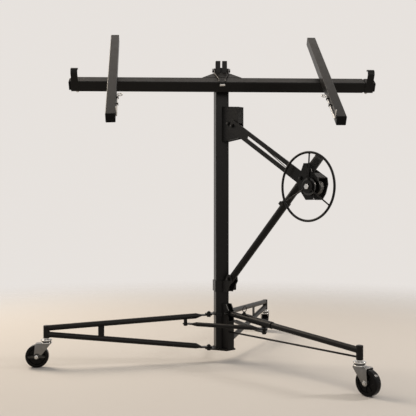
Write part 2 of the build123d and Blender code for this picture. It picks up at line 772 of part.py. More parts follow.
def brace_rise(side):
    """Height that a brace gains from its leg bolt to the collar."""
    azimuth = (LEFT_AZIMUTH, BACK_AZIMUTH)[side]
    run = spot(RIGHT_AZIMUTH, COLLAR_RADIUS, 0) - spot(azimuth, BRACE_LEG_RADIUS, 0)
    axis = brace_axis(azimuth)
    return -(run.X * axis.X + run.Y * axis.Y) / axis.Z


BOSS_BOTTOM = BRACE_Z[0] + brace_rise(0) + EYE_THICK / 2 + 1.2

with BuildPart() as fold_collar:
    sleeve_start = right_spot(COLLAR_INNER)
    sleeve_length = (right_spot(COLLAR_OUTER) - sleeve_start).length
    with BuildSketch(Plane(origin=sleeve_start, z_dir=RIGHT_RUN)):
        Circle(COLLAR_SLEEVE_R)
    extrude(amount=sleeve_length)
    boss_top = right_spot(COLLAR_RADIUS)
    with BuildSketch(Plane(origin=boss_top, z_dir=RIGHT_UP * -1)):
        Circle(9)
    extrude(amount=boss_top.Z - BOSS_BOTTOM)
    tongue_start = right_spot(COLLAR_INNER + 12) + RIGHT_UP * TONGUE_LIFT
    with BuildSketch(Plane(origin=tongue_start, x_dir=RIGHT_RUN, z_dir=RIGHT_UP)):
        with Locations((-(COLLAR_INNER + 12 - COLLAR_TONGUE_END) / 2, 0)):
            RectangleRounded(COLLAR_INNER + 12 - COLLAR_TONGUE_END, 16, 5)
        with Locations((-(right_spot(COLLAR_INNER + 12) - right_spot(LOCK_PIN_RADIUS)).length, 0)):
            Circle(PIN_HOLE_R, mode=Mode.SUBTRACT)
    extrude(amount=TONGUE_THICK)
    with BuildSketch(Plane(origin=sleeve_start, z_dir=RIGHT_RUN)):
        Circle(COLLAR_BORE_R)
    extrude(amount=sleeve_length, mode=Mode.SUBTRACT)
fold_collar.part.label = "fold_collar"
export_step(fold_collar.part, "parts/fold_collar.step")

with BuildPart() as lock_pin:
    pin_foot = right_spot(LOCK_PIN_RADIUS) + RIGHT_UP * (LEG_TUBE / 2 + 0.4)
    with BuildSketch(Plane(origin=pin_foot, z_dir=RIGHT_UP)):
        Circle(LOCK_PIN_R)
    extrude(amount=14)
    collar_face = pin_foot + RIGHT_UP * (TONGUE_THICK + 0.5)
    with BuildSketch(Plane(origin=collar_face, z_dir=RIGHT_UP)):
        Circle(LOCK_PIN_R + 3)
    extrude(amount=5)
    ring_centre = pin_foot + RIGHT_UP * 24
    with Locations(Plane(origin=ring_centre, z_dir=RIGHT_RUN).location):
        Torus(12, 1.8)
lock_pin.part.label = "lock_pin"
export_step(lock_pin.part, "parts/lock_pin.step")

# Braces: tubes with both ends pressed flat and drilled


def build_brace(side, azimuth, eye_z, rise, bush):
    axis = brace_axis(azimuth)
    leg_end = spot(azimuth, BRACE_LEG_RADIUS, eye_z)
    collar_end = spot(RIGHT_AZIMUTH, COLLAR_RADIUS, eye_z + rise)
    run = collar_end - leg_end
    along = run.normalized()
    flat = Plane(origin=leg_end - axis * (EYE_THICK / 2), x_dir=along, z_dir=axis)
    with BuildPart() as brace:
        for end, way in ((leg_end, 1), (collar_end, -1)):
            neck = end + along * (way * BRACE_FLAT)
            mouth = end + along * (way * 26)
            with BuildSketch(Plane(origin=neck, x_dir=flat.y_dir, z_dir=along)):
                Circle(BRACE_TUBE / 2)
            with BuildSketch(Plane(origin=mouth, x_dir=flat.y_dir, z_dir=along)):
                Ellipse(13, EYE_THICK / 2)
            loft()
        with BuildSketch(Plane(origin=leg_end + along * BRACE_FLAT, x_dir=flat.y_dir, z_dir=along)):
            Circle(BRACE_TUBE / 2)
        extrude(amount=run.length - 2 * BRACE_FLAT)
        with BuildSketch(flat):
            with Locations((14, 0), (run.length - 14, 0)):
                SlotCenterToCenter(28, 26)
        extrude(amount=EYE_THICK)
        with BuildSketch(flat):
            Circle(BOLT_R + PIVOT_GAP)
        extrude(amount=EYE_THICK, mode=Mode.SUBTRACT)
        with BuildSketch(Plane(origin=collar_end, x_dir=along, z_dir=axis)):
            Circle(8)
        extrude(amount=EYE_THICK / 2 + bush)
        if bush:
            with BuildSketch(Plane(origin=collar_end, x_dir=along, z_dir=axis * -1)):
                RegularPolygon(BOLT_R + 4, 6)
            extrude(amount=EYE_THICK / 2 + 7)
    brace.part.label = side + "_brace"
    export_step(brace.part, f"parts/{side}_brace.step")


BUSH_HEIGHT = BRACE_Z[0] - BRACE_Z[1] - EYE_THICK - 1.2
build_brace("left", LEFT_AZIMUTH, BRACE_Z[0], brace_rise(0), 0)
build_brace("back", BACK_AZIMUTH, BRACE_Z[1], brace_rise(1), BUSH_HEIGHT)

# Casters: a stemmed fork with its swivel race and axle, and a moulded wheel

CROWN_Z = 112
CROWN_PLATE = 5
CROWN_START = -19
CROWN_END = 47
CROWN_CORNER = 3
CROWN_INSET = 4
CROWN_STEP = 0.5
RACE_R = 23
RACE_NECK_R = 18
RACE_BOTTOM = CROWN_Z + CROWN_PLATE - 1
RACE_GAP = (121.5, 124)
RACE_TOP = SOCKET_BOTTOM - 0.4
STEM_LENGTH = 40
CHEEK_IN = WHEEL_WIDTH / 2 + 2
CHEEK = 3
CHEEK_OUT = CHEEK_IN + CHEEK
FORK_TIP_R = 13
AXLE_NUT_R = 9
AXLE_NUT = 6
LEVER_THICK = 3
LEVER_GAP = 0.3


def build_caster(side, azimuth, trail_azimuth, lever_room):
    stem_foot = spot(azimuth, SOCKET_RADIUS, 0)
    trail = heading(trail_azimuth)
    lateral = trail.cross(Vector(0, 0, 1))
    side_view = Plane(origin=stem_foot, x_dir=trail, z_dir=lateral)
    axle_spot = (CASTER_TRAIL, WHEEL_R)
    crown_mid = ((CROWN_START + CROWN_END) / 2, CROWN_Z + CROWN_PLATE / 2 - CROWN_STEP)
    cheek_top = CROWN_Z + CROWN_PLATE - CROWN_CORNER
    with BuildPart() as yoke:
        for near in (CHEEK_IN, -CHEEK_OUT):
            with BuildSketch(side_view.offset(near)):
                with Locations(axle_spot):
                    Circle(FORK_TIP_R)
                with Locations((CROWN_START + CROWN_CORNER, cheek_top), (CROWN_END - CROWN_CORNER, cheek_top)):
                    Circle(CROWN_CORNER)
                make_hull()
            extrude(amount=CHEEK)
        with BuildSketch(side_view.offset(-CHEEK_IN)):
            with Locations(crown_mid):
                Rectangle(CROWN_END - CROWN_START - 2 * CROWN_INSET, CROWN_PLATE)
        extrude(amount=2 * CHEEK_IN)
        with BuildSketch(side_view):
            with BuildLine():
                Polyline(
                    (0, RACE_BOTTOM),
                    (RACE_R, RACE_BOTTOM),
                    (RACE_R, RACE_GAP[0] - 1),
                    (RACE_R - 1, RACE_GAP[0]),
                    (RACE_NECK_R, RACE_GAP[0]),
                    (RACE_NECK_R, RACE_GAP[1]),
                    (RACE_R - 1, RACE_GAP[1]),
                    (RACE_R - 1, RACE_TOP - 2),
                    (RACE_R - 4, RACE_TOP),
                    (STEM_R, RACE_TOP),
                    (STEM_R, RACE_TOP + STEM_LENGTH),
                    (0, RACE_TOP + STEM_LENGTH),
                    close=True,
                )
            make_face()
        revolve(axis=Axis(stem_foot, (0, 0, 1)))
        with BuildSketch(side_view.offset(-CHEEK_OUT - lever_room - AXLE_NUT)):
            with Locations(axle_spot):
                Circle(AXLE_R)
        extrude(amount=2 * CHEEK_OUT + lever_room + 2 * AXLE_NUT)
        for near in (CHEEK_OUT, -CHEEK_OUT - lever_room - AXLE_NUT):
            with BuildSketch(side_view.offset(near)):
                with Locations(axle_spot):
                    RegularPolygon(AXLE_NUT_R, 6)
            extrude(amount=AXLE_NUT)
    yoke.part.label = side + "_yoke"
    export_step(yoke.part, f"parts/{side}_yoke.step")

    axle_plane = Plane(origin=stem_foot + trail * CASTER_TRAIL + Vector(0, 0, WHEEL_R),
                       x_dir=lateral, z_dir=trail)
    half = WHEEL_WIDTH / 2
    bore = AXLE_R + AXLE_FIT
    with BuildPart() as wheel:
        with BuildSketch(axle_plane):
            with BuildLine():
                Polyline((-half - 1, bore), (-half - 1, HUB_R), (HUB_DISH - half, HUB_R + 3),
                         (HUB_DISH - half, RIM_R - 3), (-half, RIM_R), (-half, TREAD_EDGE_R))
                Polyline((-half, TREAD_EDGE_R), (SHOULDER - half, SHOULDER_R), (-CROWN_HALF, WHEEL_R),
                         (CROWN_HALF, WHEEL_R), (half - SHOULDER, SHOULDER_R), (half, TREAD_EDGE_R))
                Polyline((half, TREAD_EDGE_R), (half, RIM_R), (half - HUB_DISH, RIM_R - 3),
                         (half - HUB_DISH, HUB_R + 3), (half + 1, HUB_R), (half + 1, bore), (-half - 1, bore))
            make_face()
        revolve(axis=Axis(axle_plane.origin, lateral))
    wheel.part.label = side + "_wheel"
    export_step(wheel.part, f"parts/{side}_wheel.step")
    return side_view


left_caster = build_caster("left", LEFT_AZIMUTH, TRAIL_AZIMUTHS["left"], LEVER_THICK + 2 * LEVER_GAP)
build_caster("back", BACK_AZIMUTH, TRAIL_AZIMUTHS["back"], 0)
build_caster("right", RIGHT_AZIMUTH, TRAIL_AZIMUTHS["right"], 0)

# Brake pedal on the left caster: a rocker on the axle bolt, whose two treads are bent outwards

PEDAL_HUB_R = 13
PEDAL_HALF = 38
PEDAL_WIDTH = 11
PEDAL_TREAD = 10
TREAD_REACH = PEDAL_HALF - PEDAL_TREAD / 2 - 1

with BuildPart() as brake_pedal:
    pedal_face = left_caster.offset(-CHEEK_OUT - LEVER_GAP - LEVER_THICK)
    with BuildSketch(pedal_face):
        with Locations((CASTER_TRAIL, WHEEL_R)):
            Circle(PEDAL_HUB_R)
            SlotOverall(2 * PEDAL_HALF, PEDAL_WIDTH)
            Circle(AXLE_R + PIVOT_GAP, mode=Mode.SUBTRACT)
    extrude(amount=LEVER_THICK)
    with BuildSketch(pedal_face):
        with Locations((CASTER_TRAIL, WHEEL_R)):
            with Locations((-TREAD_REACH, LEVER_THICK / 2), (TREAD_REACH, LEVER_THICK / 2)):
                Rectangle(PEDAL_TREAD, LEVER_THICK)
    extrude(amount=-PEDAL_TREAD)
brake_pedal.part.label = "brake_pedal"
export_step(brake_pedal.part, "parts/brake_pedal.step")

# Post: the winch's support tube, its foot strap on the mast and its grip

POST_RUN = (winch_point(*POST_END, 0) - winch_point(*POST_FOOT, 0)).normalized()
POST_GRIP_START = winch_point(*POST_END, 0) - POST_RUN * POST_GRIP
FOOT_BOLT = winch_point(*POST_FOOT, 0) + POST_RUN * 16
foot_bolt_bar = bar(FOOT_BOLT - WINCH_SIDE * 40, FOOT_BOLT + WINCH_SIDE * 40, BOLT_R)
BAR_RUN = Vector(SLOT_BAR_OUT[0] - SLOT_BAR_IN[0], SLOT_BAR_OUT[1] - SLOT_BAR_IN[1], 0)
BAR_ANGLE = math.degrees(math.atan2(BAR_RUN.Y, BAR_RUN.X))
BAR_LENGTH = BAR_RUN.length
BAR_NEAR = PLATE_OUT
BAR_FAR = PLATE_OUT + SLOT_BAR_THICK
POST_BOLT = (514, 826)
post_bolt_bar = bar(winch_point(*POST_BOLT, -60), winch_point(*POST_BOLT, 60), BOLT_R)

with BuildPart() as post_tube:
    foot = winch_point(*POST_FOOT, 0)
    with BuildSketch(Plane(origin=foot, z_dir=POST_RUN)):
        Circle(POST_TUBE / 2)
        Circle(POST_TUBE / 2 - POST_WALL, mode=Mode.SUBTRACT)
    extrude(amount=(winch_point(*POST_END, 0) - foot).length - 8)
    with BuildSketch(Plane(origin=foot + POST_RUN * CLAMP_REACH, x_dir=WINCH_SIDE, z_dir=POST_RUN)):
        Circle(POST_TUBE / 2 + CLAMP_BAND)
        with Locations((POST_TUBE / 2 + CLAMP_EAR / 2, 0)):
            Rectangle(CLAMP_EAR, CLAMP_EAR_WIDTH)
        Circle(POST_TUBE / 2 - POST_WALL, mode=Mode.SUBTRACT)
    extrude(amount=CLAMP_HEIGHT)
    add(foot_bolt_bar, mode=Mode.SUBTRACT)
    add(post_bolt_bar, mode=Mode.SUBTRACT)
post_tube.part.label = "post_tube"
export_step(post_tube.part, "parts/post_tube.step")

with BuildPart() as post_grip:
    with BuildSketch(Plane(origin=POST_GRIP_START, z_dir=POST_RUN)):
        Circle(POST_TUBE / 2 + 3)
    extrude(amount=POST_GRIP)
    chamfer(post_grip.edges().filter_by(GeomType.CIRCLE), 2)
    with BuildSketch(Plane(origin=POST_GRIP_START, z_dir=POST_RUN)):
        Circle(POST_TUBE / 2)
    extrude(amount=POST_GRIP - 8, mode=Mode.SUBTRACT)
post_grip.part.label = "post_grip"
export_step(post_grip.part, "parts/post_grip.step")

STRAP_BOTTOM = 322
STRAP_TOP = 371
STRAP_THICK = 4
LUG_IN = POST_TUBE / 2 + 0.5

with BuildPart() as foot_strap:
    with BuildSketch(Plane.XY.offset(STRAP_BOTTOM)):
        RectangleRounded(MAST_SIDE + 2 * STRAP_THICK, MAST_SIDE + 2 * STRAP_THICK, 4)
    extrude(amount=STRAP_TOP - STRAP_BOTTOM)
    for near in (LUG_IN, -LUG_IN - STRAP_THICK):
        with BuildSketch(WINCH.offset(near)):
            with BuildLine():
                Polyline((20, STRAP_BOTTOM), (58, STRAP_BOTTOM), (92, 372), (88, 400), (66, 404),
                         (46, STRAP_TOP), (20, STRAP_TOP), close=True)
            make_face()
        extrude(amount=STRAP_THICK)
    add(mast_block.part, mode=Mode.SUBTRACT)
    add(foot_bolt_bar, mode=Mode.SUBTRACT)
foot_strap.part.label = "foot_strap"
export_step(foot_strap.part, "parts/foot_strap.step")

# Slotted arm between the mast and the winch

arm_in_bar = bar(winch_point(*SLOT_BAR_IN, 0), winch_point(*SLOT_BAR_IN, 40), BOLT_R)

with BuildPart() as slotted_arm:
    bar_mid = ((SLOT_BAR_IN[0] + SLOT_BAR_OUT[0]) / 2, (SLOT_BAR_IN[1] + SLOT_BAR_OUT[1]) / 2)
    slot_mid = (SLOT_SPAN[0] + SLOT_SPAN[1]) / 2 - BAR_LENGTH / 2
    with BuildSketch(WINCH.offset(BAR_NEAR)):
        with Locations(Location((bar_mid[0], bar_mid[1], 0), (0, 0, BAR_ANGLE))):
            RectangleRounded(BAR_LENGTH + 36, SLOT_BAR_WIDTH, 8)
            with Locations((slot_mid, 0)):
                SlotOverall(SLOT_SPAN[1] - SLOT_SPAN[0], SLOT_WIDTH, mode=Mode.SUBTRACT)
    extrude(amount=SLOT_BAR_THICK)
    add(post_bolt_bar, mode=Mode.SUBTRACT)
    add(arm_in_bar, mode=Mode.SUBTRACT)
slotted_arm.part.label = "slotted_arm"
export_step(slotted_arm.part, "parts/slotted_arm.step")

# Sheave bracket on the mast, and the sheave that the cable runs over

BRACKET_REACH = 133
WEB_PLATE = 5
WEB_BOTTOM = 1085
WEB_TOP = 1158
sheave_bar = bar(winch_point(*SHEAVE_CENTRE, -40), winch_point(*SHEAVE_CENTRE, 40), BOLT_R)

with BuildPart() as sheave_bracket:
    for near in (PLATE_IN, -PLATE_OUT):
        with BuildSketch(WINCH.offset(near)):
            with BuildLine():
                Polyline((20, 1007), (BRACKET_REACH, 1017), (BRACKET_REACH, WEB_TOP), (20, 1171), close=True)
            make_face()
        extrude(amount=PLATE_OUT - PLATE_IN)
    with BuildSketch(WINCH.offset(-PLATE_IN)):
        with Locations((BRACKET_REACH - WEB_PLATE / 2, (WEB_BOTTOM + WEB_TOP) / 2)):
            Rectangle(WEB_PLATE, WEB_TOP - WEB_BOTTOM)
    extrude(amount=2 * PLATE_IN)
    add(mast_block.part, mode=Mode.SUBTRACT)
    add(sheave_bar, mode=Mode.SUBTRACT)
    add(arm_in_bar, mode=Mode.SUBTRACT)
sheave_bracket.part.label = "sheave_bracket"
export_step(sheave_bracket.part, "parts/sheave_bracket.step")

SHEAVE_HALF = 8
SHEAVE_FIT = 0.08

with BuildPart() as sheave:
    with BuildSketch(Plane(origin=winch_point(*SHEAVE_CENTRE, 0), x_dir=WINCH_SIDE, z_dir=WINCH_HEADING)):
        with BuildLine():
            Polyline(
                (-SHEAVE_HALF, BOLT_R + SHEAVE_FIT),
                (-SHEAVE_HALF, SHEAVE_R),
                (-SHEAVE_HALF + 3, SHEAVE_R),
                (-CABLE_R, SHEAVE_GROOVE),
                (CABLE_R, SHEAVE_GROOVE),
                (SHEAVE_HALF - 3, SHEAVE_R),
                (SHEAVE_HALF, SHEAVE_R),
                (SHEAVE_HALF, BOLT_R + SHEAVE_FIT),
                close=True,
            )
        make_face()
    revolve(axis=Axis(winch_point(*SHEAVE_CENTRE, 0), WINCH_SIDE))
sheave.part.label = "sheave"
export_step(sheave.part, "parts/sheave.step")

# Winch frame: two side plates that straddle the post, joined by a sloping top and a lower tab

DRUM_AXIS = Plane(origin=winch_point(*DRUM_CENTRE, 0), x_dir=WINCH_HEADING, z_dir=WINCH_SIDE)
NEAR_OUTLINE = (
    (492, 812), (497, 842), (517, 857), (530, 886), (563, 885), (574, 850), (604, 826),
    (606, 812), (590, 806), (588, 772), (578, 737), (541, 737), (505, 782),
)
FAR_OUTLINE = (
    (492, 812), (497, 842), (520, 862), (545, 862), (604, 826),
    (608, 800), (596, 762), (578, 737), (541, 737), (505, 782),
)
FRAME_OUT = FRAME_FRONT + FRAME_PLATE
FRAME_REAR = FRAME_BACK - FRAME_PLATE
TOP_EDGE = ((569, 844.5), (601, 825))
TAB_EDGE = ((546, 740), (575, 740))
BRIDGE_THICK = 4
SHAFT_FIT = 0.08

with BuildPart() as winch_frame:
    for near, outline in ((FRAME_FRONT, NEAR_OUTLINE), (FRAME_REAR, FAR_OUTLINE)):
        with BuildSketch(WINCH.offset(near)):
            with BuildLine():
                Polyline(*outline, close=True)
            make_face()
            with Locations(DRUM_CENTRE):
                Circle(SHAFT_R + SHAFT_FIT, mode=Mode.SUBTRACT)
        extrude(amount=FRAME_PLATE)
    for start, end in (TOP_EDGE, TAB_EDGE):
        with BuildSketch(WINCH.offset(FRAME_BACK)):
            with BuildLine():
                Line(start, end)
            trace(line_width=BRIDGE_THICK)
        extrude(amount=FRAME_FRONT - FRAME_BACK)
    with BuildSketch(WINCH.offset(FRAME_OUT)):
        with Locations(PAWL_PIVOT):
            Circle(BOLT_R)
    extrude(amount=RATCHET_O + RATCHET_THICK + 3 - FRAME_OUT)
    with BuildSketch(WINCH.offset(RATCHET_O + RATCHET_THICK + 0.4)):
        with Locations(PAWL_PIVOT):
            Circle(BOLT_R + 3)
    extrude(amount=3)
    add(post_bolt_bar, mode=Mode.SUBTRACT)
winch_frame.part.label = "winch_frame"
export_step(winch_frame.part, "parts/winch_frame.step")

# Drum, shaft, ratchet and brake disc

SHAFT_BACK = -38
HUB_O = 38
HUB_THICK = 8
HUB_PLATE_R = 26
NUT_THICK = 6

with BuildPart() as cable_drum:
    for near in (DRUM_BACK - DRUM_FLANGE, DRUM_FRONT):
        with BuildSketch(DRUM_AXIS.offset(near)):
            Circle(DRUM_FLANGE_R)
        extrude(amount=DRUM_FLANGE)
    with BuildSketch(DRUM_AXIS.offset(DRUM_BACK)):
        Circle(DRUM_CORE_R)
    extrude(amount=DRUM_FRONT - DRUM_BACK)
    with BuildSketch(DRUM_AXIS.offset(DRUM_BACK - DRUM_FLANGE)):
        Circle(SHAFT_R)
    extrude(amount=DRUM_FRONT - DRUM_BACK + 2 * DRUM_FLANGE, mode=Mode.SUBTRACT)
cable_drum.part.label = "cable_drum"
export_step(cable_drum.part, "parts/cable_drum.step")

with BuildPart() as drum_shaft:
    with BuildSketch(DRUM_AXIS.offset(SHAFT_BACK)):
        Circle(SHAFT_R)
    extrude(amount=HUB_O + HUB_THICK + 1 - SHAFT_BACK)
    with BuildSketch(DRUM_AXIS.offset(SHAFT_BACK)):
        Circle(SHAFT_R + 4)
    extrude(amount=-5)
    with BuildSketch(DRUM_AXIS.offset(FRAME_OUT + 0.4)):
        Circle(SHAFT_R + 7)
    extrude(amount=RATCHET_O - FRAME_OUT - 0.4)
    with BuildSketch(DRUM_AXIS.offset(HUB_O + HUB_THICK)):
        RegularPolygon(12, 6)
    extrude(amount=NUT_THICK)
    chamfer(drum_shaft.faces().sort_by(Axis(DRUM_AXIS.origin, WINCH_SIDE))[-1].edges(), 1.2)
drum_shaft.part.label = "drum_shaft"
export_step(drum_shaft.part, "parts/drum_shaft.step")


def tooth_point(radius, angle):
    return (radius * math.cos(math.radians(angle)), radius * math.sin(math.radians(angle)))


with BuildPart() as ratchet_wheel:
    with BuildSketch(DRUM_AXIS.offset(RATCHET_O)):
        with BuildLine():
            step = 360 / RATCHET_TEETH
            teeth = []
            for tooth in range(RATCHET_TEETH):
                teeth.append(tooth_point(RATCHET_ROOT_R, tooth * step))
                teeth.append(tooth_point(RATCHET_TIP_R, tooth * step + 1.5))
            Polyline(*teeth, close=True)
        make_face()
        Circle(SHAFT_R, mode=Mode.SUBTRACT)
    extrude(amount=RATCHET_THICK)
ratchet_wheel.part.label = "ratchet_wheel"
export_step(ratchet_wheel.part, "parts/ratchet_wheel.step")

DISC_O = RATCHET_O + RATCHET_THICK
DISC_R = 36
DISC_EDGE = 1.2

with BuildPart() as brake_disc:
    with BuildSketch(DRUM_AXIS.offset(DISC_O)):
        Circle(DISC_R)
        Circle(SHAFT_R, mode=Mode.SUBTRACT)
    extrude(amount=HUB_O - DISC_O)
    chamfer(brake_disc.faces().sort_by(Axis(DRUM_AXIS.origin, WINCH_SIDE))[-1].outer_wire().edges(), DISC_EDGE)
brake_disc.part.label = "brake_disc"
export_step(brake_disc.part, "parts/brake_disc.step")

# Pawl: its nose stands just clear of the teeth, its tail is the release lever

PAWL_GAP = 0.6

with BuildPart() as pawl_lever:
    with BuildSketch(WINCH.offset(RATCHET_O)):
        with BuildLine():
            Polyline((552.3, 821.9), (545.5, 817.5), (541.3, 834), (548.3, 851), (543, 877.6), (553.9, 879.8),
                     (560.8, 852.9), (562.7, 840.3), close=True)
        make_face()
        with Locations(PAWL_PIVOT):
            Circle(BOLT_R + PIVOT_GAP, mode=Mode.SUBTRACT)
    extrude(amount=RATCHET_THICK - PAWL_GAP)
pawl_lever.part.label = "pawl_lever"
export_step(pawl_lever.part, "parts/pawl_lever.step")

# Handwheel: a rod rim on three spokes

HANDWHEEL = DRUM_AXIS.offset(WHEEL_PLANE_O)

with BuildPart() as handwheel_rim:
    with BuildSketch(Plane(origin=HANDWHEEL.from_local_coords(Vector(HANDWHEEL_R, 0, 0)),
                           x_dir=WINCH_HEADING, z_dir=(0, 0, 1))):
        Circle(HANDWHEEL_ROD)
    revolve(axis=Axis(HANDWHEEL.origin, WINCH_SIDE))
handwheel_rim.part.label = "handwheel_rim"
export_step(handwheel_rim.part, "parts/handwheel_rim.step")

with BuildPart() as handwheel_hub:
    with BuildSketch(DRUM_AXIS.offset(HUB_O)):
        Circle(HUB_PLATE_R)
    extrude(amount=HUB_THICK)
    for turn in range(3):
        angle = math.radians(90 - SPOKE_START - 120 * turn)
        out = WINCH_HEADING * math.cos(angle) + Vector(0, 0, math.sin(angle))
        with BuildSketch(Plane(origin=HANDWHEEL.origin + out * 18, z_dir=out)):
            Circle(SPOKE_R)
        extrude(amount=HANDWHEEL_R - 18)
    with BuildSketch(DRUM_AXIS.offset(HUB_O)):
        Circle(SHAFT_R)
    extrude(amount=HUB_THICK, mode=Mode.SUBTRACT)
    add(handwheel_rim.part, mode=Mode.SUBTRACT)
handwheel_hub.part.label = "handwheel_hub"
export_step(handwheel_hub.part, "parts/handwheel_hub.step")

# Cable: the turns left on the drum, and the tight run from the drum over the sheave to the mast

WIND_R = DRUM_CORE_R + CABLE_R + 0.3
RUN_DIR = Vector(SHEAVE_CENTRE[0] - DRUM_CENTRE[0], SHEAVE_CENTRE[1] - DRUM_CENTRE[1], 0)
CABLE_SHEAVE_R = SHEAVE_GROOVE + CABLE_R + 0.4
LEAN = math.asin((WIND_R + CABLE_SHEAVE_R) / RUN_DIR.length)
RUN_ANGLE = math.atan2(RUN_DIR.Y, RUN_DIR.X)
LEAVE_ANGLE = RUN_ANGLE - LEAN + math.pi / 2
WIND_END_O = CABLE_DRUM_O + CABLE_PITCH
QUARTERS = int(CABLE_TURNS * 4)


def wind_point(turned):
    """Point and heading of the winding after so many radians before it leaves the drum."""
    angle = LEAVE_ANGLE + turned
    rise = CABLE_PITCH / (2 * math.pi)
    place = DRUM_AXIS.from_local_coords(
        Vector(WIND_R * math.cos(angle), WIND_R * math.sin(angle), WIND_END_O + rise * turned))
    ahead = (WINCH_HEADING * (WIND_R * math.sin(angle)) - Vector(0, 0, WIND_R * math.cos(angle))
             - WINCH_SIDE * rise)
    return place, ahead.normalized()


def biarc(start, start_dir, end, end_dir):
    """Meeting point of two arcs that join two points with given headings."""
    span = end - start
    both = start_dir + end_dir
    spread = 2 * (1 - start_dir.dot(end_dir))
    b = span.dot(both)
    d = (math.sqrt(b * b + spread * span.dot(span)) - b) / spread
    return (start + start_dir * d + end - end_dir * d) * 0.5


with BuildPart() as cable_winding:
    with BuildLine() as wind_path:
        for quarter in range(QUARTERS, 0, -1):
            start, start_dir = wind_point(quarter * math.pi / 2)
            end, end_dir = wind_point((quarter - 1) * math.pi / 2)
            middle = biarc(start, start_dir, end, end_dir)
            first = TangentArc(start, middle, tangent=start_dir)
            TangentArc(middle, end, tangent=first % 1)
    with BuildSketch(Plane(origin=wind_path.line @ 0, x_dir=WINCH_SIDE, z_dir=wind_path.line % 0)):
        RegularPolygon(CABLE_R, 6)
    sweep()
cable_winding.part.label = "cable_winding"
export_step(cable_winding.part, "parts/cable_winding.step")

wind_samples = [wind_point(turn * math.pi / 36)[0] for turn in range(QUARTERS * 18 + 1)]
wind_gaps = [
    (wind_samples[i] - wind_samples[j]).length - 2 * CABLE_R
    for i in range(len(wind_samples))
    for j in range(i + 54, len(wind_samples))
]
print("least gap between the cable's turns:", round(min(wind_gaps), 2), "mm")

DRUM_LEAVE = (DRUM_CENTRE[0] + WIND_R * math.cos(LEAVE_ANGLE), DRUM_CENTRE[1] + WIND_R * math.sin(LEAVE_ANGLE))
TOUCH_ANGLE = LEAVE_ANGLE - math.pi
CORNER_ANGLE = (math.pi / 2 + TOUCH_ANGLE) / 2
CORNER_R = CABLE_SHEAVE_R / math.cos(math.pi / 2 - CORNER_ANGLE)
CABLE_CORNER = (SHEAVE_CENTRE[0] + CORNER_R * math.cos(CORNER_ANGLE),
                SHEAVE_CENTRE[1] + CORNER_R * math.sin(CORNER_ANGLE))
CABLE_END_R = 24

with BuildPart() as lift_cable:
    with BuildLine() as cable_path:
        FilletPolyline(
            winch_point(*DRUM_LEAVE, CABLE_DRUM_O),
            winch_point(*CABLE_CORNER, 0),
            winch_point(CABLE_END_R, CABLE_CORNER[1], 0),
            radius=CABLE_SHEAVE_R,
        )
    with BuildSketch(Plane(origin=cable_path.line @ 0, x_dir=WINCH_SIDE, z_dir=cable_path.line % 0)):
        Circle(CABLE_R)
    sweep()
    add(mast_block.part, mode=Mode.SUBTRACT)
lift_cable.part.label = "lift_cable"
export_step(lift_cable.part, "parts/lift_cable.step")

# Through bolts of the fixed frame: leg pivots, bracket, sheave, arm, post and post foot

BOLT_HEAD_R = 9
BRACKET_OUT = BRACKET_HALF + BRACKET_PLATE
LUG_OUT = LUG_IN + STRAP_THICK

bolt_ends = [
    (winch_point(*BRACKET_BOLT, -BRACKET_OUT), winch_point(*BRACKET_BOLT, BRACKET_OUT)),
    (winch_point(*SHEAVE_CENTRE, -PLATE_OUT), winch_point(*SHEAVE_CENTRE, PLATE_OUT)),
    (winch_point(*SLOT_BAR_IN, PLATE_IN), winch_point(*SLOT_BAR_IN, BAR_FAR)),
    (winch_point(*POST_BOLT, FRAME_REAR), winch_point(*POST_BOLT, FRAME_OUT)),
    (FOOT_BOLT - WINCH_SIDE * LUG_OUT, FOOT_BOLT + WINCH_SIDE * LUG_OUT),
]
for lug in LUG_SPOTS:
    bolt_ends.append((lug + Vector(0, 0, MAST_BOTTOM - BASE_PLATE),
                      lug + Vector(0, 0, LOWER_EYE_Z + EYE_THICK / 2 + PIVOT_GAP)))
    bolt_ends.append((lug + Vector(0, 0, UPPER_EYE_Z - EYE_THICK / 2 - PIVOT_GAP),
                      lug + Vector(0, 0, LUG_PLATE_Z + LUG_PLATE)))
bolts = [through_bolt(start, end, BOLT_R, BOLT_HEAD_R) for start, end in bolt_ends]

with BuildPart() as frame_bolts:
    for bolt in bolts:
        add(bolt)
frame_bolts.part.label = "frame_bolts"
export_step(frame_bolts.part, "parts/frame_bolts.step")
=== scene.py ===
# %% [markdown]
# # A panel hoist, dressed for its picture
# The CAD model gives every piece of the hoist its true size and place. Blender adds what a solid model
# leaves out: the powder coat, the zinc plate, the weld beads, the laid wire rope, washers and grips.
# The scene is in metres, in the hoist's own frame: origin on the floor under the mast, Z up, and the
# left leg along -X.

# %% The frame
import json
import math

import bpy
from mathutils import Matrix, Vector


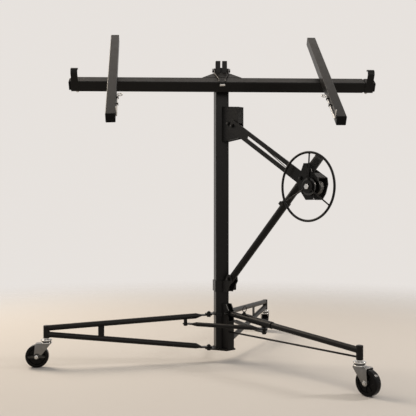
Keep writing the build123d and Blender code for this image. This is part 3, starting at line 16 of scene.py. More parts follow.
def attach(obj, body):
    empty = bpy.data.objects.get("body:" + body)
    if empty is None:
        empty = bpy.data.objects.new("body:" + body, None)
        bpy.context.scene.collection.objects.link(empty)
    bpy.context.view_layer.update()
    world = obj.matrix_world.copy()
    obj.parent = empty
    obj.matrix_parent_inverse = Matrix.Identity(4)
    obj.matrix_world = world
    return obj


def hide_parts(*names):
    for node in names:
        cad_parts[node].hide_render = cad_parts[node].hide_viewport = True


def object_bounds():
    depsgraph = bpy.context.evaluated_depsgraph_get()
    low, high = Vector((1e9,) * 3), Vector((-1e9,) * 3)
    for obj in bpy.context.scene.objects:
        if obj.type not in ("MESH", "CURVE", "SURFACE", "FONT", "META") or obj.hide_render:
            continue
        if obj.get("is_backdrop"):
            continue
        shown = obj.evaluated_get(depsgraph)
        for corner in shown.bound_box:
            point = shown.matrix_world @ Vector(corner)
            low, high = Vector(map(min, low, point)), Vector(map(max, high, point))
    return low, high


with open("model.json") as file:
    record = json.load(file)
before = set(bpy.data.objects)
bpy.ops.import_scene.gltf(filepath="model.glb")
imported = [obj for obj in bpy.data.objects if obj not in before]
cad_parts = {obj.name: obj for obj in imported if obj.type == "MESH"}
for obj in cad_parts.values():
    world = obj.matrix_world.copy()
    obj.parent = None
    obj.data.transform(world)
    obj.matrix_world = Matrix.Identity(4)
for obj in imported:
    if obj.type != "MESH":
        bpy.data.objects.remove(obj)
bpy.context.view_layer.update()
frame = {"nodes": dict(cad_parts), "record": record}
nodes = frame["nodes"]

# %% [markdown]
# ## Camera
# The picture was taken level, from a little left of the hoist's front. Its focal length was worked out in
# pixels, so the lens follows from the width of the picture and of the sensor. A level camera keeps the
# mast upright with no shift.

# %% Camera
PHOTO_WIDTH = 416
FOCAL_PIXELS = 712
SENSOR_WIDTH = 36.0
CAMERA_PLACE = (-0.665, -3.231, 0.7046)
CAMERA_TURN = math.radians(-10.57)

bpy.ops.object.camera_add(location=CAMERA_PLACE, rotation=(math.pi / 2, 0, CAMERA_TURN))
camera = bpy.context.object
camera.data.sensor_width = SENSOR_WIDTH
camera.data.lens = FOCAL_PIXELS / PHOTO_WIDTH * SENSOR_WIDTH
bpy.context.scene.camera = camera
print("lens:", round(camera.data.lens, 1), "mm")

# %% [markdown]
# ## Shader maths as Python
# Every finish below is a few lines of arithmetic on noise. A small class wraps a socket, so that
# `dust * 0.4 + 0.2` adds the Math nodes by itself, and one method makes any other node.


# %% Wrapping sockets
class Signal:
    """A socket's value inside a finish, on which Python's operators add Math nodes."""

    def __init__(self, finish, socket):
        self.finish = finish
        self.socket = socket

    def maths(self, operation, first, second):
        return self.finish.node("ShaderNodeMath", {"operation": operation}, {0: first, 1: second})

    def __add__(self, other):
        return self.maths("ADD", self, other)

    def __sub__(self, other):
        return self.maths("SUBTRACT", self, other)

    def __rsub__(self, other):
        return self.maths("SUBTRACT", other, self)

    def __mul__(self, other):
        return self.maths("MULTIPLY", self, other)

    __radd__ = __add__
    __rmul__ = __mul__


class Finish:
    """A material in the making, with its Principled shader and the object's own coordinates."""

    def __init__(self, name, **sockets):
        self.material = bpy.data.materials.new(name)
        self.material.use_nodes = True
        self.tree = self.material.node_tree
        self.shader = self.tree.nodes["Principled BSDF"]
        self.place = self.node("ShaderNodeTexCoord", output="Object")
        for title, value in sockets.items():
            self.set(title.replace("_", " "), value)

    def join(self, socket, value):
        if isinstance(value, Signal):
            self.tree.links.new(value.socket, socket)
        else:
            socket.default_value = value

    def node(self, kind, settings=None, inputs=None, output=0):
        made = self.tree.nodes.new(kind)
        for key, value in (settings or {}).items():
            setattr(made, key, value)
        for key, value in (inputs or {}).items():
            self.join(made.inputs[key], value)
        return Signal(self, made.outputs[output])

    def set(self, title, value):
        self.join(self.shader.inputs[title], value)

    def noise(self, size, detail=2.0, roughness=0.5):
        """Cloudy noise whose blotches are about size metres across."""
        return self.node("ShaderNodeTexNoise", None, {
            "Vector": self.place, "Scale": 1 / size, "Detail": detail, "Roughness": roughness})

    def between(self, value, low, high):
        """0 below low, 1 above high, smooth between them."""
        return self.node("ShaderNodeMapRange", {"interpolation_type": "SMOOTHSTEP"}, {
            "Value": value, "From Min": low, "From Max": high})

    def blend(self, mask, base, over):
        """Base colour where the mask is 0, the other where it is 1."""
        return self.node("ShaderNodeMix", {"data_type": "RGBA"}, {0: mask, 6: base, 7: over}, output=2)

    def relief(self, height, depth):
        """Surface relief of so many metres."""
        self.set("Normal", self.node("ShaderNodeBump", None, {"Height": height, "Distance": depth}))
        return self.material


# %% [markdown]
# ## Finishes
# The frame is mild steel under black powder coat. Close up, powder coat is a satin skin with an
# orange-peel texture of about a millimetre, a little dust on what faces up, and small grey rubs where it
# was handled. Dust is a mask of the surface's upward tilt times a noise.

# %% Powder coat
COAT_BLACK = (0.0042, 0.0040, 0.0038, 1)
COAT_GREY = (0.0085, 0.0080, 0.0076, 1)
DUST = (0.110, 0.093, 0.077, 1)
RUBBED = (0.055, 0.053, 0.050, 1)


def powder_coat():
    coat = Finish("powder_coat_black", Specular_IOR_Level=0.14)
    cloud = coat.noise(0.09, 4)
    peel = coat.noise(0.0016, 2)
    rubs = coat.between(coat.noise(0.012, 6, 0.7), 0.66, 0.76) * coat.between(coat.noise(0.14), 0.48, 0.62)
    normal = coat.node("ShaderNodeNewGeometry", output="Normal")
    facing = coat.node("ShaderNodeSeparateXYZ", None, {0: normal}, "Z")
    dust = coat.between(facing, 0.35, 0.95) * coat.between(coat.noise(0.03, 5, 0.65), 0.3, 0.75)
    black = coat.blend(cloud, COAT_BLACK, COAT_GREY)
    dusty = coat.blend(dust * 0.12, black, DUST)
    coat.set("Base Color", coat.blend(rubs * 0.45, dusty, RUBBED))
    coat.set("Roughness", 0.30 + cloud * 0.10 + dust * 0.14 + rubs * 0.12)
    return coat.relief(peel * 0.8 + rubs * -0.5, 0.00022)


# %% [markdown]
# The bright pieces are zinc plate, which is mottled and slightly milky, with a fine crystal grain. One
# function makes them all: polished on the races, duller on the pressed forks, and dark with oil inside
# the winch and on the brake pedal. The same dark finish on the ring of balls between the races is
# painted shade, which darkens the gap between the plates.

# %% Zinc plate
ZINC_TINT = (1.0, 0.99, 0.97)
STAIN_TINT = (0.60, 0.56, 0.50)
CRYSTALS_PER_METRE = 160.0


def tinted(level, tint):
    return (*(level * part for part in tint), 1)


def plated_steel(name, polish, dull, bright):
    """Plated steel between a dull and a bright grey, with its least roughness."""
    zinc = Finish(name, Metallic=1.0)
    crystals = {"Vector": zinc.place, "Scale": CRYSTALS_PER_METRE}
    cells = zinc.node("ShaderNodeTexVoronoi", None, crystals, "Color")
    grain = zinc.node("ShaderNodeSeparateColor", None, {0: cells})
    cloud = zinc.noise(0.018, 4)
    stains = zinc.between(zinc.noise(0.008, 5, 0.7), 0.62, 0.78)
    skin = zinc.blend(cloud, tinted(dull, ZINC_TINT), tinted(bright, ZINC_TINT))
    zinc.set("Base Color", zinc.blend(stains * 0.35, skin, tinted(dull, STAIN_TINT)))
    zinc.set("Roughness", polish + grain * 0.05 + cloud * 0.08 + stains * 0.12)
    return zinc.relief(zinc.noise(0.004, 3) * 0.5 + grain * 0.1, 0.00006)


# %% [markdown]
# The wheels are hard moulded rubber that shines where it hasn't rolled. Caps and plugs are moulded
# plastic with a fine spark-eroded grain, and the post's grip is a softer rubber, worn by hands.

# %% Rubber and plastic
TREAD_BLACK = (0.0030, 0.0030, 0.0031, 1)
TREAD_GREY = (0.0060, 0.0060, 0.0062, 1)
TREAD_SCUFF = (0.040, 0.037, 0.034, 1)
PLASTIC_BLACK = (0.0025, 0.0025, 0.0025, 1)
PLASTIC_GREY = (0.0050, 0.0050, 0.0052, 1)
GRIP_BLACK = (0.010, 0.010, 0.010, 1)
GRIP_WORN = (0.028, 0.027, 0.026, 1)


def wheel_rubber():
    rubber = Finish("wheel_rubber", Specular_IOR_Level=0.10)
    scuffs = rubber.between(rubber.noise(0.006, 6, 0.7), 0.55, 0.72)
    cloud = rubber.noise(0.03, 3)
    black = rubber.blend(cloud, TREAD_BLACK, TREAD_GREY)
    rubber.set("Base Color", rubber.blend(scuffs * 0.20, black, TREAD_SCUFF))
    rubber.set("Roughness", 0.17 + cloud * 0.08 + scuffs * 0.12)
    return rubber.relief(rubber.noise(0.0012, 3) * 0.4 - scuffs * 0.6, 0.00006)


def moulded_plastic():
    plastic = Finish("moulded_plastic_black", Specular_IOR_Level=0.08)
    pits = plastic.noise(0.0009, 2)
    cloud = plastic.noise(0.02, 3)
    plastic.set("Base Color", plastic.blend(cloud, PLASTIC_BLACK, PLASTIC_GREY))
    plastic.set("Roughness", 0.48 + pits * 0.14)
    return plastic.relief(pits, 0.00018)


def grip_rubber():
    rubber = Finish("grip_rubber_black", Specular_IOR_Level=0.35)
    grain = rubber.noise(0.0007, 3)
    worn = rubber.between(rubber.noise(0.012, 5, 0.65), 0.52, 0.72)
    rubber.set("Base Color", rubber.blend(worn, GRIP_BLACK, GRIP_WORN))
    rubber.set("Roughness", 0.62 + grain * 0.2 - worn * 0.12)
    return rubber.relief(grain, 0.00025)


# %% [markdown]
# Wire rope is drawn steel wire, bright along the crown of each strand and dark with grease elsewhere. The
# strands themselves are modelled further down, so the finish only needs patches of grease and a fine
# grain.

# %% Wire rope
WIRE_BRIGHT = (0.150, 0.147, 0.140, 1)
WIRE_GREASED = (0.045, 0.042, 0.038, 1)


def rope_steel():
    wire = Finish("rope_steel", Metallic=1.0)
    grease = wire.between(wire.noise(0.006, 4, 0.6), 0.45, 0.7)
    wire.set("Base Color", wire.blend(grease, WIRE_BRIGHT, WIRE_GREASED))
    wire.set("Roughness", 0.34 + grease * 0.25)
    return wire.relief(wire.noise(0.0005, 2), 0.00008)


# %% [markdown]
# Each CAD piece gets the finish of its material slot. A few differ in the look from the rest of their
# slot, so a second table names those.

# %% Coating the CAD pieces
finishes = {
    "black_steel": powder_coat(),
    "zinc_steel": plated_steel("zinc_plate", polish=0.22, dull=0.20, bright=0.32),
    "fork_zinc": plated_steel("fork_zinc", polish=0.24, dull=0.13, bright=0.22),
    "race_zinc": plated_steel("race_zinc", polish=0.10, dull=0.42, bright=0.62),
    # Dark steel for the oiled winch parts, the brake pedal and the bolt ends; on the ball ring between the
    # races it is painted shade.
    "oiled_steel_and_painted_shade": plated_steel("oiled_steel_and_painted_shade", polish=0.24, dull=0.035, bright=0.065),
    "black_plastic": moulded_plastic(),
    "black_rubber": grip_rubber(),
    "wheel_tread": wheel_rubber(),
    "wire_cable": rope_steel(),
}
LOOKS = {
    "oiled_steel_and_painted_shade": ("ratchet_wheel", "brake_disc", "sheave", "brake_pedal"),
    "race_zinc": ("drum_shaft", "left_hook", "right_hook"),
    "black_steel": ("bail",),
}


def coat_piece(piece, look):
    piece.data.materials.clear()
    piece.data.materials.append(finishes[look])


for subpart in frame["record"]["subparts"]:
    coat_piece(nodes[subpart["node"]], subpart["material_slot"])
for look, names in LOOKS.items():
    for name in names:
        coat_piece(nodes[name], look)
print("finishes:", sorted(finishes))

# %% [markdown]
# ## Working by hand, in code
# The pieces below are modelled as in the viewport: add a primitive, go to edit mode, extrude, inset and
# bevel, come back and apply. A few helpers cover the steps that every piece repeats. `MM` lets the sizes
# read as on a workshop drawing, and a finished piece always has its place applied into its mesh.

# %% Selecting, joining and finishing
MM = 0.001
UP = Vector((0, 0, 1))


def take(piece):
    """Make a piece the only selected one."""
    bpy.ops.object.select_all(action="DESELECT")
    piece.select_set(True)
    bpy.context.view_layer.objects.active = piece


def merge(pieces):
    """Join several meshes into the first."""
    take(pieces[0])
    for piece in pieces[1:]:
        piece.select_set(True)
    bpy.ops.object.join()
    return pieces[0]


def apply_modifiers(piece):
    take(piece)
    for modifier in list(piece.modifiers):
        bpy.ops.object.modifier_apply(modifier=modifier.name)


def settle(piece, name, body, slot, smooth=40, look=None):
    """Apply the place, smooth the shading, coat the piece and let it ride on its body."""
    take(piece)
    bpy.ops.object.transform_apply(location=True, rotation=True, scale=True)
    bpy.ops.object.shade_smooth_by_angle(angle=math.radians(smooth))
    piece.name = piece.data.name = name
    coat_piece(piece, look or slot)
    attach(piece, body)
    print(name, "on", body, "with", len(piece.data.polygons), "faces")


# %% Primitives in millimetres
SHARP_EDGE = math.radians(38)


def block(size, middle):
    """Box with its sides along the axes."""
    bpy.ops.object.select_all(action="DESELECT")
    bpy.ops.mesh.primitive_cube_add(size=1, location=Vector(middle) * MM)
    piece = bpy.context.object
    piece.scale = Vector(size) * MM
    bpy.ops.object.transform_apply(location=True, scale=True)
    return piece


def pillar(radius, low, high, sides=48, ends="NGON"):
    """Cylinder on the Z axis between two heights."""
    bpy.ops.object.select_all(action="DESELECT")
    bpy.ops.mesh.primitive_cylinder_add(vertices=sides, radius=radius * MM, depth=(high - low) * MM,
                                        end_fill_type=ends, location=(0, 0, (low + high) / 2 * MM))
    bpy.ops.object.transform_apply(location=True)
    return bpy.context.object


def soften(piece, edge, segments=3):
    """Round every sharp edge of a piece."""
    soft = piece.modifiers.new("soft_edges", "BEVEL")
    soft.width = edge * MM
    soft.segments = segments
    soft.limit_method = "ANGLE"
    soft.angle_limit = SHARP_EDGE
    apply_modifiers(piece)
    return piece


def round_bar(radius, start, end, edge, sides=48):
    """Cylinder between two points with rounded rims."""
    start, end = Vector(start), Vector(end)
    turn = (end - start).to_track_quat("Z", "Y").to_euler()
    bpy.ops.object.select_all(action="DESELECT")
    bpy.ops.mesh.primitive_cylinder_add(vertices=sides, radius=radius * MM, depth=(end - start).length * MM,
                                        location=(start + end) / 2 * MM, rotation=turn)
    piece = bpy.context.object
    bpy.ops.object.transform_apply(location=True, rotation=True)
    return soften(piece, edge)


# %% [markdown]
# In edit mode, faces and edges are picked by a test on where they are and which way they look.

# %% Picking parts of a mesh
STRAIGHT = 0.9


def pick(piece, test, kind="FACE"):
    """Select the faces by centre and normal, or the edges by their ends, and stay in edit mode."""
    bpy.ops.object.mode_set(mode="EDIT")
    bpy.ops.mesh.select_mode(type=kind)
    bpy.ops.mesh.select_all(action="DESELECT")
    bpy.ops.object.mode_set(mode="OBJECT")
    mesh = piece.data
    if kind == "FACE":
        for face in mesh.polygons:
            face.select = test(face.center, face.normal)
    else:
        for edge in mesh.edges:
            ends = [mesh.vertices[index].co for index in edge.vertices]
            edge.select = test(*ends)
    bpy.ops.object.mode_set(mode="EDIT")


def looks_up(centre, normal):
    return normal.z > STRAIGHT


def looks_down(centre, normal):
    return normal.z < -STRAIGHT


# %% [markdown]
# The winch stands in one upright plane that turns 60 degrees away from the hoist's X axis. A helper turns
# that plane's drawing sizes (distance from the mast, height, offset to the side) into places, and another
# gives the level direction at an angle, for legs and casters.

# %% Winch plane and headings
WINCH_OUT = Vector((0.5, -math.sqrt(0.75), 0))
WINCH_SIDE = WINCH_OUT.cross(UP)


def winch(out, height, side):
    return (WINCH_OUT * out + UP * height + WINCH_SIDE * side) * MM


def heading(degrees):
    return Vector((math.cos(math.radians(degrees)), math.sin(math.radians(degrees)), 0))


# %% [markdown]
# ## Wire rope
# The lifting rope is six strands laid round a core, 4 mm thick. Swept round tubes would look like bent
# rod, so the rope is swept from a section of six lobes, and the section turns as it goes: once in every
# 28 mm, which is a usual lay. The route is a NURBS curve through the drum, the sheave and the mast wall,
# and the rope follows the points that Blender itself gives for that curve.

# %% Strand section
ROPE_R = 2.0 * MM
ROPE_LAY = 28 * MM
STRANDS = 6
LOBE_STEPS = 5
LOBE_HALF = math.radians(84)


def strand_section():
    """Closed outline of six strands side by side round the core."""
    strand_r = ROPE_R / 3
    bpy.ops.curve.primitive_nurbs_circle_add()
    section = bpy.context.object
    spline = section.data.splines.new("POLY")
    spline.points.add(STRANDS * LOBE_STEPS - 1)
    section.data.splines.remove(section.data.splines[0])
    section.data.dimensions = "2D"
    for index, point in enumerate(spline.points):
        strand, step = divmod(index, LOBE_STEPS)
        lead = 2 * math.pi * strand / STRANDS
        swing = lead + LOBE_HALF * (2 * step / (LOBE_STEPS - 1) - 1)
        x = 2 * strand_r * math.cos(lead) + strand_r * math.cos(swing)
        y = 2 * strand_r * math.sin(lead) + strand_r * math.sin(swing)
        point.co = (x, y, 0, 1)
    spline.use_cyclic_u = True
    return section


# %% Rope along a route
def new_line(kind, count):
    """Empty curve object with one spline of so many points."""
    bpy.ops.curve.primitive_nurbs_path_add()
    line = bpy.context.object
    line.data.splines.clear()
    spline = line.data.splines.new(kind)
    spline.points.add(count - 1)
    return line, spline


def route_points(route, detail):
    """Points along the smooth curve that has the route as its control points."""
    line, spline = new_line("NURBS", len(route))
    for point, place in zip(spline.points, route):
        point.co = (*place, 1)
    spline.order_u = 3
    spline.use_endpoint_u = True
    spline.resolution_u = detail
    line.data.resolution_u = detail
    drawn = bpy.data.meshes.new_from_object(line)
    points = [vertex.co.copy() for vertex in drawn.vertices]
    bpy.data.objects.remove(line)
    return points


def laid_rope(route, detail):
    """Mesh of a laid rope along a route, the points that it follows, and its length."""
    points = route_points(route, detail)
    section = strand_section()
    rope, spline = new_line("POLY", len(points))
    gone = 0.0
    for index, place in enumerate(points):
        gone += (place - points[index - 1]).length if index else 0.0
        spline.points[index].co = (*place, 1)
        spline.points[index].tilt = 2 * math.pi * gone / ROPE_LAY
    rope.data.bevel_mode = "OBJECT"
    rope.data.bevel_object = section
    rope.data.use_fill_caps = True
    take(rope)
    bpy.ops.object.convert(target="MESH")
    bpy.data.objects.remove(section)
    return bpy.context.object, points, gone


# %% Tight run from the drum to the mast
RUN_ROUTE = [
    (0.294024, -0.463265, 0.765471),
    (0.047090, -0.079682, 1.095921),
    (0.036569, -0.063339, 1.110000),
    (0.016500, -0.028579, 1.110000),
]
RUN_DETAIL = 150

rope_run, run_points, run_length = laid_rope(RUN_ROUTE, RUN_DETAIL)
settle(rope_run, "wire_rope_run", "base", "wire_cable", smooth=60)
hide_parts("lift_cable")
print("rope from drum to mast:", round(run_length, 3), "m")

# %% [markdown]
# The turns on the drum are a helix. A NURBS curve cuts the corners of its control points, so these lie on
# a slightly larger radius, from which the curve comes out at the wound radius.

# %% Turns on the drum
DRUM_OUT = 566
DRUM_HEIGHT = 790
WIND_R = 30.3
WIND_TURNS = 4
WIND_STEPS = 16
WIND_PITCH = 4.45
WIND_START = -23
WIND_FROM = math.radians(234.050)
WIND_DETAIL = 5

drum_heart = winch(DRUM_OUT, DRUM_HEIGHT, 0)
hull_r = WIND_R / math.cos(math.pi / WIND_STEPS)
turn_route = []
for step in range(WIND_TURNS * WIND_STEPS + 1):
    angle = WIND_FROM + 2 * math.pi * step / WIND_STEPS
    along = WIND_PITCH * (step / WIND_STEPS + 1) + WIND_START
    out = WINCH_OUT * math.cos(angle) + UP * math.sin(angle)
    turn_route.append(drum_heart + out * hull_r * MM + WINCH_SIDE * along * MM)
rope_turns, _, turn_length = laid_rope(turn_route, WIND_DETAIL)
settle(rope_turns, "wire_rope_turns", "drum", "wire_cable", smooth=60)
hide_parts("cable_winding")
print("rope on the drum:", round(turn_length, 3), "m")

# %% [markdown]
# ## Caster wheels
# Each wheel is one hard rubber moulding: a crowned tread, a dished web with eight ribs, and a raised hub
# round the axle. Half of it is shaped from a cylinder's upper end by insets that are pushed in and out,
# then mirrored. It is modelled once, lying on the origin, and each caster gets its own copy.

# %% Half a wheel
WHEEL_R = 50.8
WHEEL_HALF = 16
TREAD_ROUND = 7.4
RIBS = 8
RIB_SIZE = (19, 3.2, 4.4)
RIB_MIDDLE = (25.5, 0, 12.2)
RIB_ROUND = 1.1
# Each step insets the end face and moves it: over the tread's side and rim to the web, then the hub and bore
WHEEL_STEPS = ((9, 0), (4.8, 0), (3, -5), (17, 0), (3, 6), (5, 0), (1.2, -2), (2.2, 0))


def on_the_shoulder(a, b):
    high = min(a.z, b.z) > (WHEEL_HALF - 0.1) * MM
    return high and min(a.xy.length, b.xy.length) > (WHEEL_R - 0.8) * MM


def rib(turn):
    """Low bar across the web, with its upper edges rounded."""
    piece = block(RIB_SIZE, RIB_MIDDLE)
    pick(piece, lambda a, b: min(a.z, b.z) > RIB_MIDDLE[2] * MM, "EDGE")
    bpy.ops.mesh.bevel(offset=RIB_ROUND * MM, segments=3)
    bpy.ops.object.mode_set(mode="OBJECT")
    piece.rotation_euler.z = turn
    bpy.ops.object.transform_apply(rotation=True)
    return piece


def half_wheel():
    wheel = pillar(WHEEL_R, 0, WHEEL_HALF, 72)
    pick(wheel, looks_down)
    bpy.ops.mesh.delete(type="FACE")
    bpy.ops.object.mode_set(mode="OBJECT")
    pick(wheel, looks_up)
    for inset, rise in WHEEL_STEPS:
        bpy.ops.mesh.inset(thickness=inset * MM)
        bpy.ops.transform.translate(value=(0, 0, rise * MM))
    bpy.ops.object.mode_set(mode="OBJECT")
    pick(wheel, on_the_shoulder, "EDGE")
    bpy.ops.mesh.bevel(offset=TREAD_ROUND * MM, segments=6, profile=0.55)
    bpy.ops.object.mode_set(mode="OBJECT")
    return wheel


wheel_model = half_wheel()
wheel_model = merge([wheel_model] + [rib(2 * math.pi * index / RIBS) for index in range(RIBS)])
mirror = wheel_model.modifiers.new("other_half", "MIRROR")
mirror.use_axis = (False, False, True)
apply_modifiers(wheel_model)
print("wheel model:", len(wheel_model.data.polygons), "faces")

# %% [markdown]
# A caster's wheel trails behind its stem. The table gives, for each caster, the heading of its leg and the
# heading of its trail in degrees.

# %% A wheel for each caster
SOCKET_REACH = 790
TRAIL = 40
CASTERS = {"left": (180, 174.5), "right": (-60, -62), "back": (60, 80)}

for side, (leg_way, trail_way) in CASTERS.items():
    take(wheel_model)
    bpy.ops.object.duplicate()
    wheel = bpy.context.object
    trail = heading(trail_way)
    wheel.location = (heading(leg_way) * SOCKET_REACH + trail * TRAIL + UP * WHEEL_R) * MM
    wheel.rotation_euler = trail.cross(UP).to_track_quat("Z", "Y").to_euler()
    settle(wheel, side + "_moulded_wheel", side + "_wheel", "wheel_tread", smooth=30)
    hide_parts(side + "_wheel")
bpy.data.objects.remove(wheel_model)

# %% [markdown]
# ## Caster forks
# A caster's fork is one pressed sheet: a crown that lies over the wheel and two cheeks bent down from it to
# the axle. A cheek is the convex hull of a round at the axle and two small rounds at the crown, so it is
# modelled as exactly that. Above the crown, two bright race plates with balls between them let it swivel.
# The fork is drawn with X along its trail, and turned to its heading afterwards.

# %% Hulls of rounds
HAIRLINE = 0.001
WELD_WITHIN = 0.01
FLAT_WITHIN = math.radians(1)


def hull_plate(rounds, low, high, edge):
    """Plate between two Y offsets that wraps rounds, each given as x, z and radius."""
    plate = merge([round_bar(radius, (x, low, z), (x, high, z), HAIRLINE, 40) for x, z, radius in rounds])
    take(plate)
    bpy.ops.object.mode_set(mode="EDIT")
    bpy.ops.mesh.select_all(action="SELECT")
    bpy.ops.mesh.convex_hull()
    bpy.ops.mesh.remove_doubles(threshold=WELD_WITHIN * MM)
    bpy.ops.mesh.dissolve_limited(angle_limit=FLAT_WITHIN)
    bpy.ops.object.mode_set(mode="OBJECT")
    return soften(plate, edge)


# %% Pressed fork
CHEEK_IN = 18
CHEEK = 3
CHEEK_OUT = CHEEK_IN + CHEEK
CHEEK_ROUNDS = ((TRAIL, WHEEL_R, 12), (43, 103, 4), (-13, 103, 4))
CHEEK_EDGE = 0.8
CROWN_SIZE = (68, 2 * CHEEK_OUT, 4)
CROWN_MIDDLE = (13, 0, 105)
CROWN_CORNER = 9
CROWN_EDGE = 1.4


def pressed_fork():
    """Crown with its two cheeks."""
    crown = block(CROWN_SIZE, CROWN_MIDDLE)
    pick(crown, lambda a, b: abs(a.z - b.z) > MM, "EDGE")
    bpy.ops.mesh.bevel(offset=CROWN_CORNER * MM, segments=6)
    bpy.ops.object.mode_set(mode="OBJECT")
    cheeks = [hull_plate(CHEEK_ROUNDS, near, near + CHEEK, CHEEK_EDGE) for near in (CHEEK_IN, -CHEEK_OUT)]
    return merge([soften(crown, CROWN_EDGE), *cheeks])


# %% [markdown]
# What sits on the stem or the axle is round or hexagonal, so each is a bar with its radius, its two ends
# and its rounding.

# %% Race plates, balls, stem and axle bolt
BALL_RING = (21, 110, 118, 0.4)
STEM_ROUNDS = (
    (25, 106, 111.5, 1.8),
    (25, 117, 124, 2.4),
    (11, 123.5, 129.6, 0.8),
    (5.9, 129, 169.6, 0.8),
)
AXLE_R = 4.9
AXLE_OVER = 6
AXLE_PAST_NUT = 9
WASHER_R = 9
WASHER = 1.3
HEAD_R = 7.5
HEAD_END = 6.2
NUT_R = 9
NUT_HEIGHT = 6
HEX = 6
HEX_EDGE = 0.9


def on_stem(radius, low, high, edge):
    return round_bar(radius, (0, 0, low), (0, 0, high), edge)


def on_axle(radius, near, far, edge, sides):
    return round_bar(radius, (TRAIL, near, WHEEL_R), (TRAIL, far, WHEEL_R), edge, sides)


def bright_fittings(lever_room):
    """Both race plates on the stem, and the axle bolt, with room for a lever under its nut."""
    nut = CHEEK_OUT + lever_room
    return merge([
        *(on_stem(*row) for row in STEM_ROUNDS),
        on_axle(AXLE_R, -CHEEK_OUT - AXLE_OVER, nut + AXLE_PAST_NUT, 0.6, 32),
        on_axle(WASHER_R, -CHEEK_OUT - WASHER, -CHEEK_OUT, 0.3, 40),
        on_axle(HEAD_R, -CHEEK_OUT - HEAD_END, -CHEEK_OUT - WASHER + 0.1, HEX_EDGE, HEX),
        on_axle(NUT_R, nut, nut + NUT_HEIGHT, HEX_EDGE, HEX),
    ])


# %% [markdown]
# The left caster has a foot brake, whose lever sits on the axle under the nut. Its nut stands further out
# by the lever's thickness.

# %% Forks and fittings in place
LEVER_ROOM = {"left": 3.6, "right": 0, "back": 0}

for side, (leg_way, trail_way) in CASTERS.items():
    models = (
        (pressed_fork(), "_pressed_fork", "fork_zinc"),
        # The ball ring's dark finish is painted shade: it darkens the gap between the two race plates.
        (on_stem(*BALL_RING), "_ball_ring", "oiled_steel_and_painted_shade"),
        (bright_fittings(LEVER_ROOM[side]), "_race_and_axle", "race_zinc"),
    )
    for model, title, look in models:
        model.location = heading(leg_way) * SOCKET_REACH * MM
        model.rotation_euler.z = math.radians(trail_way)
        settle(model, side + title, side + "_caster", "zinc_steel", smooth=35, look=look)
        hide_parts(side + "_yoke")

# %% [markdown]
# ## Post grip
# The upper end of the winch post wears a rubber sleeve with rings for the hand and a domed end. One ring
# is modelled and an Array modifier repeats it along the sleeve.

# %% Rings
GRIP = 62
GRIP_R = 19
RINGS = 11
RING_PITCH = 4.6
RING_HEIGHT = 3.4
RING_WALL = 2.6
RING_EDGE = 0.9

rings = pillar(GRIP_R, 0, RING_HEIGHT, ends="NOTHING")
bpy.ops.object.mode_set(mode="EDIT")
bpy.ops.mesh.select_all(action="SELECT")
bpy.ops.mesh.subdivide(number_cuts=1)
bpy.ops.object.mode_set(mode="OBJECT")
wall = rings.modifiers.new("ring_wall", "SOLIDIFY")
wall.thickness = RING_WALL * MM
wall.offset = -1
soft = rings.modifiers.new("soft_edges", "BEVEL")
soft.width = RING_EDGE * MM
soft.segments = 3
row = rings.modifiers.new("row_of_rings", "ARRAY")
row.count = RINGS
row.use_relative_offset = False
row.use_constant_offset = True
row.constant_offset_displace = (0, 0, RING_PITCH * MM)
apply_modifiers(rings)
print("rings:", len(rings.data.polygons), "faces")

# %% [markdown]
# The sleeve is a cylinder whose lower end is inset and pushed up inside, which makes the bore for the
# post. The end is a short, wider cylinder with its rims rounded, and the three are joined and turned along
# the post.

# %% Sleeve and domed end
POST_FOOT = winch(60, 371, 0)
POST_END = winch(592, 908, 0)
POST_RUN = (POST_END - POST_FOOT).normalized()
SLEEVE_R = GRIP_R - 1.2
SLEEVE_WALL = 1.6
CAP = 9
CAP_FLOOR = 8
CAP_ROUND = 3.2

sleeve = pillar(SLEEVE_R, 0, GRIP)
pick(sleeve, looks_down)
bpy.ops.mesh.inset(thickness=SLEEVE_WALL * MM)
bpy.ops.mesh.extrude_region_move(TRANSFORM_OT_translate={"value": (0, 0, (GRIP - CAP_FLOOR) * MM)})
bpy.ops.object.mode_set(mode="OBJECT")

cap = pillar(GRIP_R, GRIP - CAP, GRIP)
pick(cap, lambda centre, normal: abs(normal.z) > STRAIGHT)
bpy.ops.mesh.bevel(offset=CAP_ROUND * MM, segments=5)
bpy.ops.object.mode_set(mode="OBJECT")

grip = merge([sleeve, rings, cap])
grip.location = POST_END - POST_RUN * GRIP * MM
grip.rotation_euler = POST_RUN.to_track_quat("Z", "Y").to_euler()
settle(grip, "ringed_grip", "base", "black_rubber", smooth=50)
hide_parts("post_grip")

# %% [markdown]
# ## Weld beads
# The tubes and plates of the frame are welded, and the powder coat lies over the beads. A bead is a row of
# overlapping ripples a few millimetres apart. Here it is a path whose thickness swells and shrinks from
# point to point, laid in the corner between two pieces, then made a mesh.

# %% Laying a bead
BEAD_R = 2.1
THIN_BEAD_R = 1.6
ROD_BEAD_R = 1.5
RIPPLE = 2.4
RIPPLE_SWELL = (1.0, 0.78)


def bead(corners, closed=False, thick=BEAD_R):
    """Rippled bead along a line of points in millimetres."""
    corners = [Vector(corner) for corner in corners]
    ends = corners[1:] + corners[:1] if closed else corners[1:]
    places = []
    for start, end in zip(corners, ends):
        count = max(1, round((end - start).length / RIPPLE * 2))
        places += [start.lerp(end, step / count) for step in range(count)]
    if not closed:
        places.append(corners[-1])
    line, spline = new_line("POLY", len(places))
    for index, (point, place) in enumerate(zip(spline.points, places)):
        point.co = (*(place * MM), 1)
        point.radius = RIPPLE_SWELL[index % 2]
    spline.use_cyclic_u = closed
    line.data.bevel_depth = thick * MM
    line.data.bevel_resolution = 2
    line.data.use_fill_caps = True
    take(line)
    bpy.ops.object.convert(target="MESH")
    return bpy.context.object


# %% [markdown]
# Where a round tube runs into a round socket, the seam is a saddle: a circle round the tube, pushed along
# it until it lies on the socket, and no higher than the socket's lip.

# %% Saddles and slopes
SOCKET_R = 13.5
SOCKET_LIP = 182.5
SADDLE_STEPS = 28
TUBE_R = 12.5
LEG_PIVOT = 58
LEG_ENDS = {"upper": (211.5, 173.0), "lower": (63.8, 145.5)}


